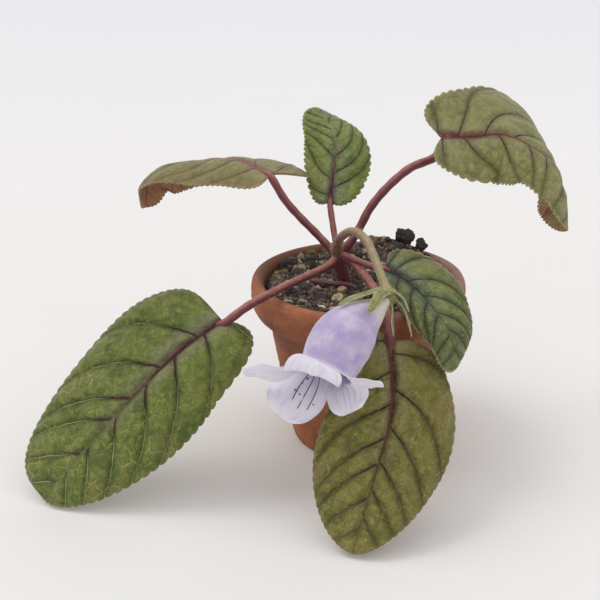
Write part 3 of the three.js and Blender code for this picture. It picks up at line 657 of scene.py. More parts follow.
def leaf_numbers(tree):
    """Sockets by name: the numbers on the points and the patterns worked out from them."""
    flat = add(tree, "ShaderNodeAttribute", out=1, attribute_name="flat")
    parts, vein, rim = (add(tree, "ShaderNodeSeparateXYZ", {
        0: add(tree, "ShaderNodeAttribute", out=1, attribute_name=label),
    }, out=None).outputs for label in ("flat", "vein", "rim"))
    broad, fine, wave = (add(tree, "ShaderNodeTexNoise", {
        "Vector": flat, "Scale": scale, "Detail": detail, "Roughness": rough,
    }) for scale, detail, rough in (
        (1 / MOTTLE_MM, 5.0, 0.6), (1 / GRAIN_MM, 5.0, 0.65), (0.3, 3.0, 0.5)))

    # Distances to the edges of scattered cells, bent so that no edge is straight
    sway = add(tree, "ShaderNodeTexNoise", {"Vector": flat, "Scale": 0.45, "Detail": 2.0}, out=1)
    bent = add(tree, "ShaderNodeVectorMath", {
        0: sway, 1: (2.2, 2.2, 0.0), 2: flat}, operation="MULTIPLY_ADD")
    cell, small_cell = (add(tree, "ShaderNodeTexVoronoi", {
        "Vector": bent, "Scale": 1 / size}, feature="DISTANCE_TO_EDGE", voronoi_dimensions="2D")
        for size in (AREOLE_MM, 0.4 * AREOLE_MM))

    # Distance to the nearest side vein, in mm, a little shaken so that no vein is ruled
    shaken = add(tree, "ShaderNodeMath", {
        0: add(tree, "ShaderNodeMath", {0: wave, 1: 0.12, 2: -0.06}, operation="MULTIPLY_ADD"),
        1: vein[0]}, operation="ADD")
    off = add(tree, "ShaderNodeMath", {
        0: add(tree, "ShaderNodeMath", {0: shaken, 1: 0.5}, operation="PINGPONG"),
        1: vein[1]}, operation="MULTIPLY")
    across = add(tree, "ShaderNodeMath", {0: parts[1]}, operation="ABSOLUTE")
    return dict(
        flat=flat, across=across, upper=parts[2], off=off, share=vein[2], away=rim[0],
        edge=rim[1], broad=broad, fine=fine, wave=wave, cell=cell, small_cell=small_cell)


print("areoles across, mm:", AREOLE_MM, "and", round(0.4 * AREOLE_MM, 1))

# %% [markdown]
# ## The green of a leaf
#
# The upper face is a soft olive green, brownish in patches near the edge. Painted shade makes
# it darker in the valleys of the side veins and in the creases between the areoles, and
# painted light makes it lighter on the bulges. Beside the midrib a painted sheen makes it
# greyish pink, and there it is most glossy. The lines between the areoles are pale where the
# light shines through. Each leaf has its own set of colours, since young and old ones differ,
# and three numbers for the strength of its lines.

# %% Colours and green layers
LEAF_LOOKS = {
    "leaf_front_left": dict(
        dark="#455412", mid="#687826", light="#99a34c", warm="#706a36", valley_shade="#333f1a",
        painted_sheen="#92897a", edge="#7f8348", vein="#4c2529", vein_end="#a3a866", rib="#4a1c24",
        rib_end="#7a6c54", net="#a9af66", under="#8d7a50", rib_half=0.55, line=1.0, shade=0.6,
        fine=0.65),
    "leaf_back_left": dict(
        dark="#6b6638", mid="#87844e", light="#a59f6c", warm="#8d7a58", valley_shade="#5b5233",
        painted_sheen="#9d9470", edge="#b09a72", vein="#7a4a40", vein_end="#8f7f52", rib="#94575a",
        rib_end="#9b6f58", net="#b3a872", under="#b9826a", rib_half=0.55, line=0.6, shade=0.35,
        fine=0.3),
    "leaf_back": dict(
        dark="#59682a", mid="#8b994b", light="#b2bc69", warm="#7d7c46", valley_shade="#434e28",
        painted_sheen="#8f9480", edge="#8c9c4c", vein="#4c3a34", vein_end="#55622e", rib="#5a2440",
        rib_end="#a0837a", net="#a9b85c", under="#8b8f50", rib_half=0.42, line=0.42, shade=0.5,
        fine=0.5),
    "leaf_back_right": dict(
        dark="#6e7139", mid="#8d8f57", light="#aead6e", warm="#8a7d5c", valley_shade="#545030",
        painted_sheen="#93896c", edge="#a9a866", vein="#5b2a2a", vein_end="#7d7a46", rib="#6c2630",
        rib_end="#7f5444", net="#b0ab62", under="#955638", rib_half=0.42, line=0.55, shade=0.6,
        fine=0.45),
    "leaf_right": dict(
        dark="#434f26", mid="#7b8747", light="#a3ae60", warm="#7b6d4a", valley_shade="#364226",
        painted_sheen="#717a70", edge="#b3a880", vein="#2b2e26", vein_end="#4a562d", rib="#2a2630",
        rib_end="#4c5434", net="#7d874a", under="#7d7b48", rib_half=0.36, line=0.45, shade=0.65,
        fine=0.3),
    "leaf_front": dict(
        dark="#5a5c1d", mid="#7f7b32", light="#aaa35a", warm="#776238", valley_shade="#40391c",
        painted_sheen="#93866c", edge="#7f7a45", vein="#3b281c", vein_end="#6b6539", rib="#5e342a",
        rib_end="#5c4930", net="#b0a86a", under="#96724a", rib_half=0.75, line=0.65, shade=0.55,
        fine=0.45),
}
VALLEY_MM = 1.9
SILVER_MM = 6.0
STAIN_MM = 2.4


def leaf_green(tree, look, at):
    """Colour of the upper face without its veins, and the strength of its gloss and painted sheen.
    """
    across, share, broad, fine = (at[name] for name in ("across", "share", "broad", "fine"))
    bloom = strength(tree, (across, 0.4, SILVER_MM, 1.0, 0.0), (share, 0.0, 0.75, 0.85, 0.05),
                     (fine, 0.3, 0.7, 0.6, 1.0))
    net = add(tree, "ShaderNodeMath", {
        0: add(tree, "ShaderNodeMapRange", {
            0: at["cell"], 1: 0.015, 2: 0.055, 3: look["fine"], 4: 0.0}),
        1: add(tree, "ShaderNodeMapRange", {
            0: at["small_cell"], 1: 0.02, 2: 0.1, 3: 0.3 * look["fine"], 4: 0.0}),
    }, operation="MAXIMUM")
    return bloom, paint(tree, look["dark"], [
        # Broad mottling, then painted light on the bulges
        (look["mid"], (broad, 0.28, 0.7, 0, 1)),
        (look["light"], (at["small_cell"], 0.0, 0.3, 0.4, 1.0), (fine, 0.45, 0.62, 0.0, 0.6)),
        # Brown patches near the edge
        (look["warm"], (at["away"], 0.35, 1.0, 0.1, 0.8), (broad, 0.44, 0.6, 0, 1)),
        # Painted shade in the creases between the areoles, and in the valleys of the side veins
        (look["valley_shade"], (at["cell"], 0.0, 0.16, 0.9 * look["shade"], 0.0, SMOOTH),
         (broad, 0.4, 0.6, 1.0, 0.2)),
        (look["valley_shade"], (at["off"], 0.0, VALLEY_MM, look["shade"], 0.0, SMOOTH)),
        # Painted sheen beside the midrib, greyish pink and widest at the stalk
        (look["painted_sheen"], bloom),
        # Dark stain that the red of the stalk leaves along the first half of the midrib
        (look["vein"], (across, 0.3, STAIN_MM, 0.8, 0.0, SMOOTH), (share, 0.1, 0.6, 1.0, 0.0)),
        # Pale net of the finest veins
        (look["net"], net, (broad, 0.4, 0.6, 0.25, 1.0), (share, 0.15, 0.55, 0.3, 1.0)),
    ])


print("colours on a leaf:", sum(str(v).startswith("#") for v in LEAF_LOOKS["leaf_back"].values()))

# %% [markdown]
# ## Veins and margin
#
# Side veins and midrib are thin lines over the green. They are dark, mostly wine red, near
# the stalk and fade to the colour of the blade towards edge and tip, as the real ones do. A
# line is drawn where the distance to the vein is less than half its width. The margin is a
# thin paler line all round.

# %% Vein layers
def leaf_veins(tree, look, at, body):
    """Veins and margin over the body colour, and where side veins and midrib lie."""
    share, away = at["share"], at["away"]
    vein_half = add(tree, "ShaderNodeMapRange", {
        0: away, 1: 0.0, 2: 0.9, 3: 0.36 * look["line"], 4: 0.16})
    rib_half = add(tree, "ShaderNodeMapRange", {
        0: share, 1: 0.0, 2: 0.95, 3: look["rib_half"], 4: 0.3 * look["rib_half"]})
    from_vein, from_rib = (
        add(tree, "ShaderNodeMath", {0: distance, 1: half}, operation="DIVIDE")
        for distance, half in ((at["off"], vein_half), (at["across"], rib_half)))
    vein_line = strength(
        tree, (from_vein, 0.45, 1.35, 1.0, 0.0, SMOOTH), (at["across"], 0.3, 0.6, 0, 1))
    rib_line = add(tree, "ShaderNodeMapRange", {
        0: from_rib, 1: 0.65, 2: 1.3, 3: 1.0, 4: 0.0}, interpolation_type=SMOOTH)
    vein_tone = add(tree, "ShaderNodeMath", {
        0: share, 1: 0.45, 2: away}, operation="MULTIPLY_ADD")
    rib_tone = add(tree, "ShaderNodeMath", {
        0: share,
        1: add(tree, "ShaderNodeMath", {0: at["wave"], 1: 0.6, 2: -0.3}, operation="MULTIPLY_ADD"),
    }, operation="ADD")
    vein_colour = paint(tree, look["vein"], [(look["vein_end"], (vein_tone, 0.45, 0.8, 0, 1))])
    rib_colour = paint(tree, look["rib"], [(look["rib_end"], (rib_tone, 0.25, 0.65, 0, 1))])
    body = paint(tree, body, [
        (vein_colour, vein_line, (away, 0.4, 1.0, 0.95, 0.7)),
        (rib_colour, rib_line, (share, 0.55, 1.0, 1.0, 0.45)),
        (look["edge"], (at["edge"], 0.1, 0.7, 0.6, 0.0, SMOOTH)),
    ])
    return vein_line, rib_line, body


print("half width of the midrib, mm:", {
    name: look["rib_half"] for name, look in LEAF_LOOKS.items()})

# %% [markdown]
# ## The skin of a leaf
#
# The lower face is paler and flushed with red, with raised pale veins. The relief of the net
# and of the short hairs dulls the gloss, except beside the midrib, where the skin has a satin
# shine, and a painted sheen on the upper face. The hairs are too fine to show, so they are
# drawn at 0.4 mm.

# %% Leaf material, and the six leaves
HAIR_MM = 0.4


def leaf_skin(name):
    """Soft hairy leaf: satin gloss over green, with wine red veins that fade outwards."""
    look = LEAF_LOOKS[name]
    material, tree, shader = new_material("hairy_leaf_skin_" + name)
    at = leaf_numbers(tree)
    bloom, body = leaf_green(tree, look, at)
    vein_line, rib_line, body = leaf_veins(tree, look, at, body)
    pale_veins = add(tree, "ShaderNodeMath", {0: vein_line, 1: 0.6}, operation="MULTIPLY")
    skin = paint(tree, look["light"], [
        (look["under"], (at["broad"], 0.3, 0.6, 0.45, 1.0)),
        (look["rib_end"], pale_veins), (look["rib_end"], rib_line), (body, at["upper"])])
    hairs = add(tree, "ShaderNodeTexVoronoi", {
        "Vector": at["flat"], "Scale": 1 / HAIR_MM}, voronoi_dimensions="2D")
    height = add(tree, "ShaderNodeMath", {0: at["fine"], 1: 2.5}, operation="MULTIPLY")
    for more in (
            add(tree, "ShaderNodeMath", {0: hairs, 1: -0.4}, operation="MULTIPLY"),
            add(tree, "ShaderNodeMapRange", {0: at["cell"], 1: 0.0, 2: 0.3, 3: 0.0, 4: 1.2}),
            add(tree, "ShaderNodeMath", {0: vein_line, 1: -1.6}, operation="MULTIPLY")):
        height = add(tree, "ShaderNodeMath", {0: height, 1: more}, operation="ADD")
    fill(tree, shader, {
        "Base Color": skin, "IOR": 1.42, "Sheen Weight": 0.05, "Sheen Roughness": 0.4,
        "Roughness": add(tree, "ShaderNodeMapRange", {
            0: bloom, 1: 0.05, 2: 0.6, 3: 0.42, 4: 0.27}),
        "Normal": add(tree, "ShaderNodeBump", {
            "Height": height, "Strength": 0.8, "Distance": 0.5 * MM})})
    return material


for leaf_name, blade in blades.items():
    finish(blade_mesh(leaf_name, blade, leaf_skin(leaf_name)), leaf_name)

# %% [markdown]
# ## Run a Geometry Nodes tree
#
# Stalks, hairs and crumbs follow a path or a surface, which is what Geometry Nodes are for.
# A tree is put on an object as a modifier, its named inputs are set, and the result is taken
# as a plain mesh, so nothing is left live on the finished piece.

# %% Helpers for node trees
def new_node_tree(name, sizes):
    """A tree with a geometry input and output, and a named input for each size."""
    tree = bpy.data.node_groups.new(name, "GeometryNodeTree")
    tree.is_modifier = True
    tree.interface.new_socket("Geometry", in_out="INPUT", socket_type="NodeSocketGeometry")
    tree.interface.new_socket("Geometry", in_out="OUTPUT", socket_type="NodeSocketGeometry")
    for label, value in sizes.items():
        kind = {int: "NodeSocketInt", float: "NodeSocketFloat"}.get(type(value))
        socket = tree.interface.new_socket(
            label, in_out="INPUT", socket_type=kind or "NodeSocketMaterial")
        if kind:
            socket.default_value = value
    start = add(tree, "NodeGroupInput", out=None)
    end = add(tree, "NodeGroupOutput", out=None)
    return tree, start, end


def run_tree(tree, source, name, sizes):
    """The plain mesh object that the tree makes of the source, which is removed."""
    modifier = source.modifiers.new("nodes", "NODES")
    modifier.node_group = tree
    for item in tree.interface.items_tree:
        if item.in_out == "INPUT" and item.name in sizes:
            modifier[item.identifier] = sizes[item.name]
    graph = bpy.context.evaluated_depsgraph_get()
    mesh = bpy.data.meshes.new_from_object(source.evaluated_get(graph), depsgraph=graph)
    mesh.name = name
    mesh.shade_smooth()
    bpy.data.objects.remove(source)
    return new_object(name, mesh)


LINE_STEP_MM = 0.45


def make_line_object(name, runs):
    """Edges along smooth paths, with the radius and the place along the path on each point."""
    places, edges, thick, flow = [], [], [], []
    for points, radius in runs:
        path = Path(points)
        count = int(path.length / LINE_STEP_MM) + 2
        marks = np.linspace(0, path.length, count)
        first = len(places)
        places.extend(path.at(marks)[0])
        edges.extend((first + i, first + i + 1) for i in range(count - 1))
        thick.extend(radius(marks, path.length) * MM)
        flow.extend((m / path.length, m, 0.0) for m in marks)
    mesh = bpy.data.meshes.new(name)
    mesh.from_pydata(metres(places).tolist(), edges, [])
    for label, kind, values in (("thick", "value", thick), ("flow", "vector", flow)):
        data_type = "FLOAT" if kind == "value" else "FLOAT_VECTOR"
        field = mesh.attributes.new(label, data_type, "POINT")
        field.data.foreach_set(kind, np.asarray(values, np.float32).ravel())
    return new_object(name, mesh)


print("a line has a point each", LINE_STEP_MM, "mm")

# %% [markdown]
# ## A tree that grows stalks with hairs
#
# A stalk is a round section swept along a path, with a radius that changes on the way: it
# swells where it leaves the stem and again where it joins the blade. The tree turns edges
# into curves, sweeps a circle along them, and then sets fine tapering hairs on the skin,
# square to it and then tilted by chance. In daylight they make the pale rim of the stalks.

# %% The stalk tree
HAIR_LEAN = (0.5, 0.5, 3.1)


def make_stalk_tree():
    tree, start, end = new_node_tree("stalks_with_hairs", {
        "Sides": 20, "Hairs per m2": 0.0, "Hair length": 0.0006, "Hair radius": 0.00004,
        "Seed": 3, "Skin": None, "Hair": None,
    })
    curve = add(tree, "GeometryNodeMeshToCurve", {0: start.outputs["Geometry"]})
    radius = add(tree, "GeometryNodeInputNamedAttribute", {"Name": "thick"}, data_type="FLOAT")
    circle = add(tree, "GeometryNodeCurvePrimitiveCircle", {
        "Resolution": start.outputs["Sides"], "Radius": 1.0})
    skin = add(tree, "GeometryNodeCurveToMesh", {
        "Curve": curve, "Profile Curve": circle, "Scale": radius, "Fill Caps": True})
    points = add(tree, "GeometryNodeDistributePointsOnFaces", {
        "Mesh": skin, "Density": start.outputs["Hairs per m2"], "Seed": start.outputs["Seed"],
    }, out=None)
    hair = add(tree, "GeometryNodeMeshCone", {
        "Vertices": 3, "Radius Top": 0.0, "Radius Bottom": start.outputs["Hair radius"],
        "Depth": start.outputs["Hair length"]})
    lean = add(tree, "FunctionNodeRandomValue", {
        0: tuple(-angle for angle in HAIR_LEAN), 1: HAIR_LEAN, 8: start.outputs["Seed"],
    }, data_type="FLOAT_VECTOR")
    turn = add(tree, "FunctionNodeRotateRotation", {
        0: points.outputs["Rotation"], 1: lean}, rotation_space="LOCAL")
    size = add(tree, "FunctionNodeRandomValue", {2: 0.45, 3: 1.0, 8: 5}, out=1)
    hairs = add(tree, "GeometryNodeInstanceOnPoints", {
        "Points": points.outputs["Points"], "Instance": hair, "Rotation": turn, "Scale": size})
    hairs = add(tree, "GeometryNodeSetMaterial", {
        "Geometry": add(tree, "GeometryNodeRealizeInstances", {0: hairs}),
        "Material": start.outputs["Hair"]})
    skin = add(tree, "GeometryNodeSetMaterial", {
        "Geometry": skin, "Material": start.outputs["Skin"]})
    join = add(tree, "GeometryNodeJoinGeometry", out=None)
    tree.links.new(hairs, join.inputs[0])
    tree.links.new(skin, join.inputs[0])
    tree.links.new(join.outputs[0], end.inputs[0])
    return tree


stalk_tree = make_stalk_tree()
print("stalk tree has", len(stalk_tree.nodes), "nodes")

# %% [markdown]
# ## Stem and leaf stalks
#
# The six leaf stalks grow from one short stem that stands in the soil, and they are one
# piece with it. Each starts inside the stem, so no joint shows, and runs on along the middle
# of its blade, sinking into it, where it has become the midrib. The radius is a function of
# the distance along the path: swollen at the root and thinning to a point at the far end.

# %% Paths and radii of the stalks
CROWN = [-6.0, 0.5, 60.2]
CROWN_DROP = 0.4
STEM_FOOT = [-4.0, 2.0, 39.0]
STEM_RADIUS = 2.2
STALKS = {
    "leaf_front_left": (1.3, [
        [-8.9, -4, 58.6], [-18, -14, 57.8], [-24.5, -20.5, 57], [-33, -27, 54.6],
        [-40.1, -29.4, 50.1]]),
    "leaf_back_left": (1.25, [
        [-8.2, 2, 61.3], [-13.4, 4, 66.4], [-18, 5, 70.9], [-22.6, 6, 76.1], [-27, 7.8, 83]]),
    "leaf_back": (1.0, [[-7.2, 5.6, 64], [-7.9, 9.4, 67.7], [-8.6, 14.2, 72.1]]),
    "leaf_back_right": (1.35, [
        [-1.6, 1, 65.6], [0.6, 2, 69.4], [3.4, 3, 74.6], [8.4, 4.2, 80.6], [15.3, 5.8, 86.2],
        [23.2, 8.6, 89.0], [26.3, 6.7, 94.2]]),
    "leaf_right": (1.05, [
        [-4.3, -3, 61.1], [-1.5, -6.5, 61.2], [1.4, -10, 61.2], [4.2, -13, 61.2], [7, -15, 61.5]]),
    "leaf_front": (1.35, [
        [-1.7, -5, 59.3], [1, -13, 58.8], [4.2, -24, 57.6], [6, -31, 56.6], [7.2, -36, 53],
        [7.2, -38.2, 49.2]]),
}
RIB_RUN = np.array([0.025, 0.07, 0.12])
RIB_LIFT = [-0.5, -0.75, -1.1]
RIB_SINK = {"leaf_right": 0.7, "leaf_front_left": 0.5, "leaf_back_right": 0.5}
ROOT_SWELL = 0.5
ROOT_REACH = 3.2


def stalk_radius(radius, taper):
    """The radius of a stalk that has a few faint knots and tapers over its last part."""
    def at(marks, length):
        root = ROOT_SWELL * np.exp(-((marks / ROOT_REACH) ** 2))
        knots = 0.035 * np.sin(marks * 1.3 + radius * 20)
        left = np.clip((length - marks) / taper, 0, 1)
        return radius * (0.97 + root + knots) * (0.12 + 0.88 * left ** 1.5)
    return at


def stalk_run(name, radius, points):
    """From the crown along the stalk, and on along the middle of the blade, sinking into it."""
    run = RIB_RUN * blades[name].length
    lifts = np.array(RIB_LIFT) - RIB_SINK.get(name, 0.0)
    on_blade = [blades[name].place(along, 0.0, lift).tolist() for along, lift in zip(run, lifts)]
    crown = [CROWN[0], CROWN[1], CROWN[2] - CROWN_DROP]
    return [crown] + points + on_blade, stalk_radius(radius, run[-1] + 1.0)


def stem_radius(marks, length):
    """The stem thickens at the crown and closes over it in a dome."""
    left = length - marks
    dome = np.sqrt(np.clip(1 - ((STEM_RADIUS - left) / STEM_RADIUS).clip(0) ** 2, 0.002, 1))
    return STEM_RADIUS * (1 + 0.12 * np.exp(-((left - 3) / 3.5) ** 2)) * dome


stem = [STEM_FOOT, [STEM_FOOT[0], STEM_FOOT[1], 49.0], [-5.6, 0.8, 56.2], CROWN, [-6.1, 0.4, 61.9]]
runs = [(stem, stem_radius)]
runs += [stalk_run(name, radius, points) for name, (radius, points) in STALKS.items()]
print("stem and stalks, mm:", [round(Path(points).length, 1) for points, _ in runs])

# %% [markdown]
# ## The skin of a stalk
#
# The stalks are wine red, browner and pinker where the light reaches them, with fine streaks
# along them. Noise on the way that the skin faces gives such streaks: that direction stays
# the same along a stalk and changes round it. A little drift with the distance keeps them
# from being ruled. The hairs are clear and only show as a pale line.

# %% Stalk materials, and the stem with its stalks
def stalk_skin(name, colours, streak_mm=0.35):
    """Young soft stalk: moist skin over juicy tissue, streaked lengthwise.

    Colours are a dark one, a lit one and a third for the far end.
    """
    material, tree, shader = new_material(name)
    flow = add(tree, "ShaderNodeSeparateXYZ", {
        0: add(tree, "ShaderNodeAttribute", out=1, attribute_name="flow")}, out=None)
    where = add(tree, "ShaderNodeTexCoord", out=3)
    spot = add(tree, "ShaderNodeTexNoise", {
        "Vector": where, "Scale": 1 / (2.2 * MM), "Detail": 4.0, "Roughness": 0.6})
    facing = add(tree, "ShaderNodeNewGeometry", out=1)
    drift = add(tree, "ShaderNodeMath", {
        0: flow.outputs[1], 1: 0.05 / streak_mm}, operation="MULTIPLY")
    round_it = add(tree, "ShaderNodeVectorMath", {
        0: facing, 1: (1 / streak_mm,) * 3, 2: add(tree, "ShaderNodeCombineXYZ", {0: drift}),
    }, operation="MULTIPLY_ADD")
    streak = add(tree, "ShaderNodeTexNoise", {"Vector": round_it, "Scale": 1.0, "Detail": 3.0})
    upward = add(tree, "ShaderNodeSeparateXYZ", {0: facing}, out=2)
    fill(tree, shader, {
        "Roughness": 0.42, "IOR": 1.42, "Sheen Weight": 0.15,
        "Base Color": paint(tree, colours[0], [
            # Painted light: the side that faces upwards takes the lit colour
            (colours[1], (upward, 0.15, 0.9, 0, 1), (spot, 0.3, 0.7, 0.45, 1.0)),
            (colours[2], (flow.outputs[0], 0.35, 1.0, 0.0, 0.45)),
            (colours[0], (streak, 0.5, 0.7, 0.0, 0.65))]),
        "Normal": add(tree, "ShaderNodeBump", {
            "Height": streak, "Strength": 0.4, "Distance": 0.12 * MM})})
    return material


def hair_skin():
    """Plant hair: one clear cell after another, each a little brighter or duller."""
    material, tree, shader = new_material("plant_hair")
    where = add(tree, "ShaderNodeTexCoord", out=3)
    tone = add(tree, "ShaderNodeTexNoise", {"Vector": where, "Scale": 900.0})
    fill(tree, shader, {
        "Base Color": paint(tree, "#e9dfd4", [("#f6f2e8", tone)]), "Roughness": 0.5})
    return material


plant_hair = hair_skin()
red_stalk = stalk_skin("wine_red_stalk_skin", ("#5a2229", "#b5776a", "#8c4a4d"))
finish(run_tree(stalk_tree, make_line_object("stem_lines", runs), "red_stem_and_stalks", {
    "Sides": 22, "Hairs per m2": 3.3e5, "Hair length": 0.0007, "Seed": 11,
    "Skin": red_stalk, "Hair": plant_hair}), "stem_and_stalks")

# %% [markdown]
# ## Flower stalk
#
# The stalk of the flower rises from the crown and bends over in a hook, brown red at its
# root, tan on the bend and green below the calyx, and it is the hairiest part of the plant.

# %% Flower stalk
FLOWER_STALK = [
    [-6.7, -1, 61.7], [-6.8, -2, 64], [-6.2, -3.5, 66.5], [-5, -6, 68.9], [-3.5, -9, 70.9],
    [-1.9, -12, 72], [-0.3, -16, 72.4], [1.3, -20, 71.7], [2.5, -24, 70.1], [3.7, -28.5, 68.1],
    [4.9, -33.5, 65.7], [6.2, -38, 63.4],
]
FLOWER_STALK_RADIUS = 1.2


def flower_stalk_radius(marks, length):
    share = marks / length
    root = 0.45 * np.exp(-((marks / 2.6) ** 2))
    return FLOWER_STALK_RADIUS * (1.12 - 0.18 * share + root + 0.35 * share ** 14)


flower_stalk_skin = stalk_skin("green_flower_stalk_skin", ("#6b4b39", "#b09a74", "#98965c"))
hook_line = make_line_object("hook_line", [(FLOWER_STALK, flower_stalk_radius)])
finish(run_tree(stalk_tree, hook_line, "hooked_flower_stalk", {
    "Sides": 24, "Hairs per m2": 1.5e6, "Hair length": 0.0009, "Seed": 23,
    "Skin": flower_stalk_skin, "Hair": plant_hair}), "flower_stalk")

# %% [markdown]
# ## The flower's tube
#
# The corolla is one sheet: a tube that leaves the calyx narrow, swells, bends down and ends
# in five lobes. Its form is a row of rings round a bent axis, with the radius read from a
# profile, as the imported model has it. Angles go round from the upper side of the tube.

# %% The form of the tube
TUBE_LINE = [
    [6.8, -39, 62.1], [2.4, -41.5, 59.4], [-2.6, -44.5, 56.2], [-7.1, -48, 52], [-10.7, -53, 46.6],
]
TUBE_UP = [0.06, -0.84, 0.55]
TUBE_PROFILE = [[0, 0.1, 0.3, 0.48, 0.66, 0.85, 1], [1.5, 2.2, 5, 7.7, 8.7, 8.4, 7.6]]
TUBE_BULGE = 0.06
PETAL_THICKNESS = 0.38


def tube_radius(share):
    """The profile, with its corners rounded off."""
    smooth = np.linspace(0, 1, 60)
    table = np.interp(smooth, *TUBE_PROFILE)
    table = np.convolve(np.pad(table, 3, "edge"), np.ones(7) / 7, "valid")
    return np.interp(share, smooth, table)


class Flower:
    """The bent tube of the flower, and places measured from the middle of its mouth."""

    def __init__(self):
        self.path = Path(TUBE_LINE)
        forward = self.path.at(0.7 * self.path.length)[1]
        up = np.array(TUBE_UP)
        self.up = unit(up - (up @ forward) * forward)

    def place(self, share, degrees):
        share, degrees = np.broadcast_arrays(np.asarray(share, float), degrees)
        middle, forward = self.path.at(np.minimum(share, 1) * self.path.length)
        right = unit(np.cross(self.up, forward))
        upward = np.cross(forward, right)
        turn = np.radians(degrees)[..., None]
        outward = upward * np.cos(turn) + right * np.sin(turn)
        radius = tube_radius(share)
        bulge = TUBE_BULGE * np.cos(turn[..., 0]) * np.sin(np.pi * share)
        rib = 0.018 * np.cos(5 * turn[..., 0]) * share ** 2
        return middle + outward * (radius * (1 + bulge + rib))[..., None]

    def normal(self, share, degrees):
        step = 0.01
        ahead = self.place(np.minimum(share + step, 1), degrees)
        behind = self.place(np.maximum(share - step, 0.001), degrees)
        around = self.place(share, degrees + 2) - self.place(share, degrees - 2)
        return unit(np.cross(ahead - behind, around))

    def from_mouth(self, offsets, direction=False):
        middle, forward = self.path.at(self.path.length)
        side = unit(np.cross(self.up, forward))
        above = np.cross(forward, side)
        right, upper, onward = np.moveaxis(np.asarray(offsets, float), -1, 0)
        place = right[..., None] * side + upper[..., None] * above + onward[..., None] * forward
        return place if direction else place + middle


flower = Flower()
print("flower tube is", round(flower.path.length, 1), "mm long")

# %% [markdown]
# ## Lobes of the flower
#
# The five lobes open from the mouth ring, each from its own stretch of it. A lobe is a bent
# blade, and near the ring its places are blended with a straight continuation of the tube,
# so the flare is smooth. The two upper lobes roll back, the side ones spread and the lowest
# hangs. The edges are thinner than the middle, and ruffled.

# %% Lobes of the corolla, in order round the mouth
LOBES = [
    dict(name="upper_left", angles=(374.2, 305.0), width=8, fullness=0.45, curl=12,
         side=[-1, -0.2, 0.12],
         line=[[-2.4, 6.8, -3], [-3, 7.6, 2], [-3.2, 8.6, 4.6], [-3.4, 10.2, 5.4],
               [-3.5, 11.6, 4.2], [-3.5, 12.2, 2.4]]),
    dict(name="left", angles=(305.0, 235.7), width=4.6, fullness=0.7, curl=12,
         side=[0.1, -1, 0.2],
         line=[[-6.6, 0.2, -3], [-8.2, 0.2, 2.6], [-11.4, 0.4, 6.2], [-15.6, 0.6, 8.8],
               [-20.2, 0.8, 10.6]]),
    dict(name="lowest", angles=(235.7, 159.5), width=8.2, fullness=0.7, curl=-16,
         side=[1, -0.1, 0],
         line=[[-2, -6.7, -3], [-2.5, -6.8, 1], [-3.8, -6.2, 6], [-5, -5.4, 11], [-6, -4.6, 16.2]]),
    dict(name="right", angles=(159.5, 84.5), width=6, fullness=0.7, curl=-12,
         side=[0.85, 0.5, -0.7],
         line=[[6, -4.1, -3], [6.8, -3.8, 0.6], [8.4, -3.2, 3.2], [9.9, -2.6, 5.4],
               [11.2, -2.2, 6.8]]),
    dict(name="upper_right", angles=(84.5, 14.2), width=4.6, fullness=1.3, curl=10,
         side=[-0.4, 0.9, 0.1],
         line=[[5, 4.4, -3], [6, 5, 0], [8.8, 6, 0.2], [12, 6.6, -0.3], [15.2, 6.8, -1.4]]),
]
TUBE_ROWS = 60
LOBE_ROWS = 34
LOBE_COLUMNS = 30
LOBE_START = 0.17
LOBE_BLEND = 0.42
RUFFLE_HEIGHT = 0.5
CREASE_DEPTH = 0.35


def petal_numbers(run, degrees):
    """For the material: the run from calyx to tip, and the sine and cosine of the turn."""
    turn = np.radians(degrees)
    return np.stack(np.broadcast_arrays(run, np.sin(turn), np.cos(turn)), -1)


def lobe_places(lobe, index, depth):
    """Places of one lobe, row after row from the mouth ring, at a depth below its outside."""
    u = np.linspace(-1, 1, LOBE_COLUMNS + 1)[None, :]
    s = np.linspace(0, 1, LOBE_ROWS + 1)[:, None]
    first, last = lobe["angles"]
    degrees = first + (last - first) * (u + 1) / 2
    blade = Blade(dict(
        midrib=flower.from_mouth(lobe["line"]), side=unit(flower.from_mouth(lobe["side"], True)),
        width=[lobe["width"]] * 2, bias=[1, 1], fullness=[lobe["fullness"]] * 2, lobe=[0, 0],
        fold=[[0, 0]] * 2, curl=[[lobe["curl"]] * 2] * 2))
    t = LOBE_START + (1 - LOBE_START) * s ** 0.9
    _, along, across = blade.outline(np.minimum(t, 0.9985), np.zeros(u.shape, int))
    edge = np.abs(u)
    ruffle = np.sin(9 * s + 2.1 * index) + 0.6 * np.sin(17 * s + 3 * u + index)
    ruffle = RUFFLE_HEIGHT * ruffle * edge ** 3 * np.minimum(1, 2.5 * s) * (1 - s ** 6)
    crease = -CREASE_DEPTH * np.exp(-((u / 0.14) ** 2)) * np.sin(np.pi * s)
    thick = 1 - 0.5 * edge ** 6
    blade_places = blade.place(
        along + 0 * u, across * u, ruffle + crease - depth * thick)
    ring = flower.place(1.0, degrees) - flower.normal(1.0, degrees) * depth
    lean = unit(flower.place(1.0, degrees) - flower.from_mouth([0, 0, 0]))
    onward = flower.from_mouth([0, 0, 1], True)
    ahead = ring + (onward + 0.35 * lean) * (s * 0.55 * blade.length)[..., None]
    blend = np.clip(s / LOBE_BLEND, 0, 1)
    blend = (blend * blend * (3 - 2 * blend))[..., None]
    return ahead * (1 - blend) + blade_places * blend, petal_numbers(1 + s, degrees)


print("lobes round the mouth:", [lobe["name"] for lobe in LOBES])

# %% [markdown]
# ## Tube and lobes as one sheet
#
# The columns of the tube stand where those of the lobes start. So when points that lie on
# each other are joined, tube and lobes become one sheet without a seam. The inner skin lies
# a petal's thickness inside, and both are sewn together along every free edge.

